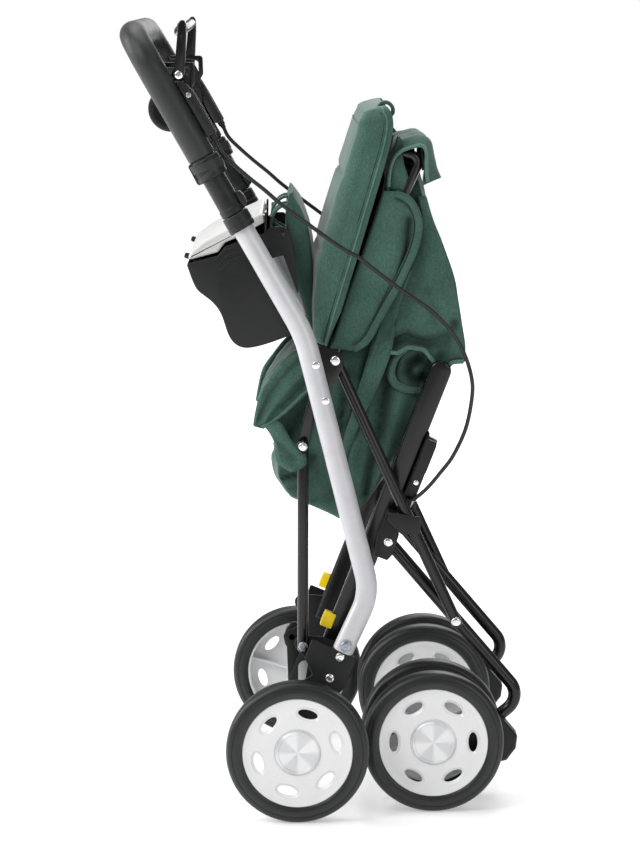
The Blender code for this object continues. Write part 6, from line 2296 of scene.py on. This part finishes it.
def make_light(name, place, target, size, power):
    """Square soft box that looks at a target."""
    data = bpy.data.lights.new(name, "AREA")
    data.shape = "SQUARE"
    data.size = size
    data.energy = power
    light = link(name, data)
    light.location = place
    light.rotation_euler = (Vector(target) - Vector(place)).to_track_quat("-Z", "Y").to_euler()


ROOM_LIGHT = 0.44
ROOM_GLOSS = 0.3


def make_world():
    """White studio: even light on the object and plain white behind it."""
    world = bpy.data.worlds.new("studio")
    bpy.context.scene.world = world
    world.use_nodes = True
    tree = world.node_tree
    tree.nodes.clear()
    rays = add_node(tree, "ShaderNodeLightPath")
    seen = add_node(
        tree, "ShaderNodeMath", {"operation": "MAXIMUM"},
        {0: (rays, "Is Camera Ray"), 1: (rays, "Is Transmission Ray")},
    )
    level = add_node(
        tree, "ShaderNodeMapRange", {"To Min": ROOM_LIGHT, "To Max": ROOM_GLOSS},
        {"Value": (rays, "Is Glossy Ray")},
    )
    light = add_node(tree, "ShaderNodeBackground", {"Color": (1, 1, 1, 1)}, {"Strength": (level, "Result")})
    backdrop = add_node(tree, "ShaderNodeBackground", {"Color": (1, 1, 1, 1), "Strength": 1.0})
    both = add_node(tree, "ShaderNodeMixShader", links={0: (seen, "Value"), 1: (light, 0), 2: (backdrop, 0)})
    add_node(tree, "ShaderNodeOutputWorld", links={"Surface": (both, 0)})


FLOOR_PLAIN = 0.7
FLOOR_WHITE = 2.4
FLOOR_GLOW = 0.34


def make_floor():
    """White glossy board under the rollator: it keeps the soft shadow and a faint mirror image."""
    material = bpy.data.materials.new("white_floor_board")
    material.use_nodes = True
    tree = material.node_tree
    tree.nodes.clear()
    rays = add_node(tree, "ShaderNodeLightPath")
    seen = add_node(
        tree, "ShaderNodeMath", {"operation": "MAXIMUM"},
        {0: (rays, "Is Camera Ray"), 1: (rays, "Is Glossy Ray")},
    )
    board = add_node(
        tree, "ShaderNodeBsdfPrincipled",
        {"Base Color": linear("#f4f4f4"), "Roughness": 0.22, "Specular IOR Level": 0.35},
    )
    place = add_node(tree, "ShaderNodeTexCoord")
    away = add_node(tree, "ShaderNodeVectorMath", {"operation": "LENGTH"}, {0: (place, "Object")})
    fade = add_node(
        tree, "ShaderNodeMapRange",
        {
            "From Min": FLOOR_PLAIN, "From Max": FLOOR_WHITE, "To Min": FLOOR_GLOW, "To Max": 1.0,
            "interpolation_type": "SMOOTHSTEP",
        },
        {"Value": (away, "Value")},
    )
    glow = add_node(tree, "ShaderNodeEmission", {"Color": (1, 1, 1, 1)}, {"Strength": (fade, "Result")})
    none = add_node(tree, "ShaderNodeEmission", {"Strength": 0.0})
    shown = add_node(tree, "ShaderNodeMixShader", links={0: (seen, "Value"), 1: (none, 0), 2: (glow, 0)})
    both = add_node(tree, "ShaderNodeAddShader", links={0: (board, 0), 1: (shown, 0)})
    add_node(tree, "ShaderNodeOutputMaterial", links={"Surface": (both, 0)})
    shape = bmesh.new()
    corners = [
        shape.verts.new((9 * math.cos(math.pi * i / 24), 9 * math.sin(math.pi * i / 24), 0))
        for i in range(48)
    ]
    shape.faces.new(corners)
    mesh = bpy.data.meshes.new("floor")
    shape.to_mesh(mesh)
    shape.free()
    mesh.materials.append(material)
    link("floor", mesh)


make_camera()
make_world()
make_floor()
make_light("key", (-2.2, -1.9, 2.7), (0, 0, 0.5), 1.5, 60)
make_light("left", (-3.0, 0.4, 1.5), (0, 0, 0.5), 1.6, 52)
make_light("fill", (2.2, -2.6, 1.7), (0, 0, 0.5), 1.8, 22)
make_light("top", (-0.3, 0.5, 3.0), (0, 0, 0.5), 1.8, 48)
make_light("back", (0.6, 2.4, 1.6), (0, 0, 0.6), 1.4, 16)
bpy.context.scene.view_settings.view_transform = "Standard"
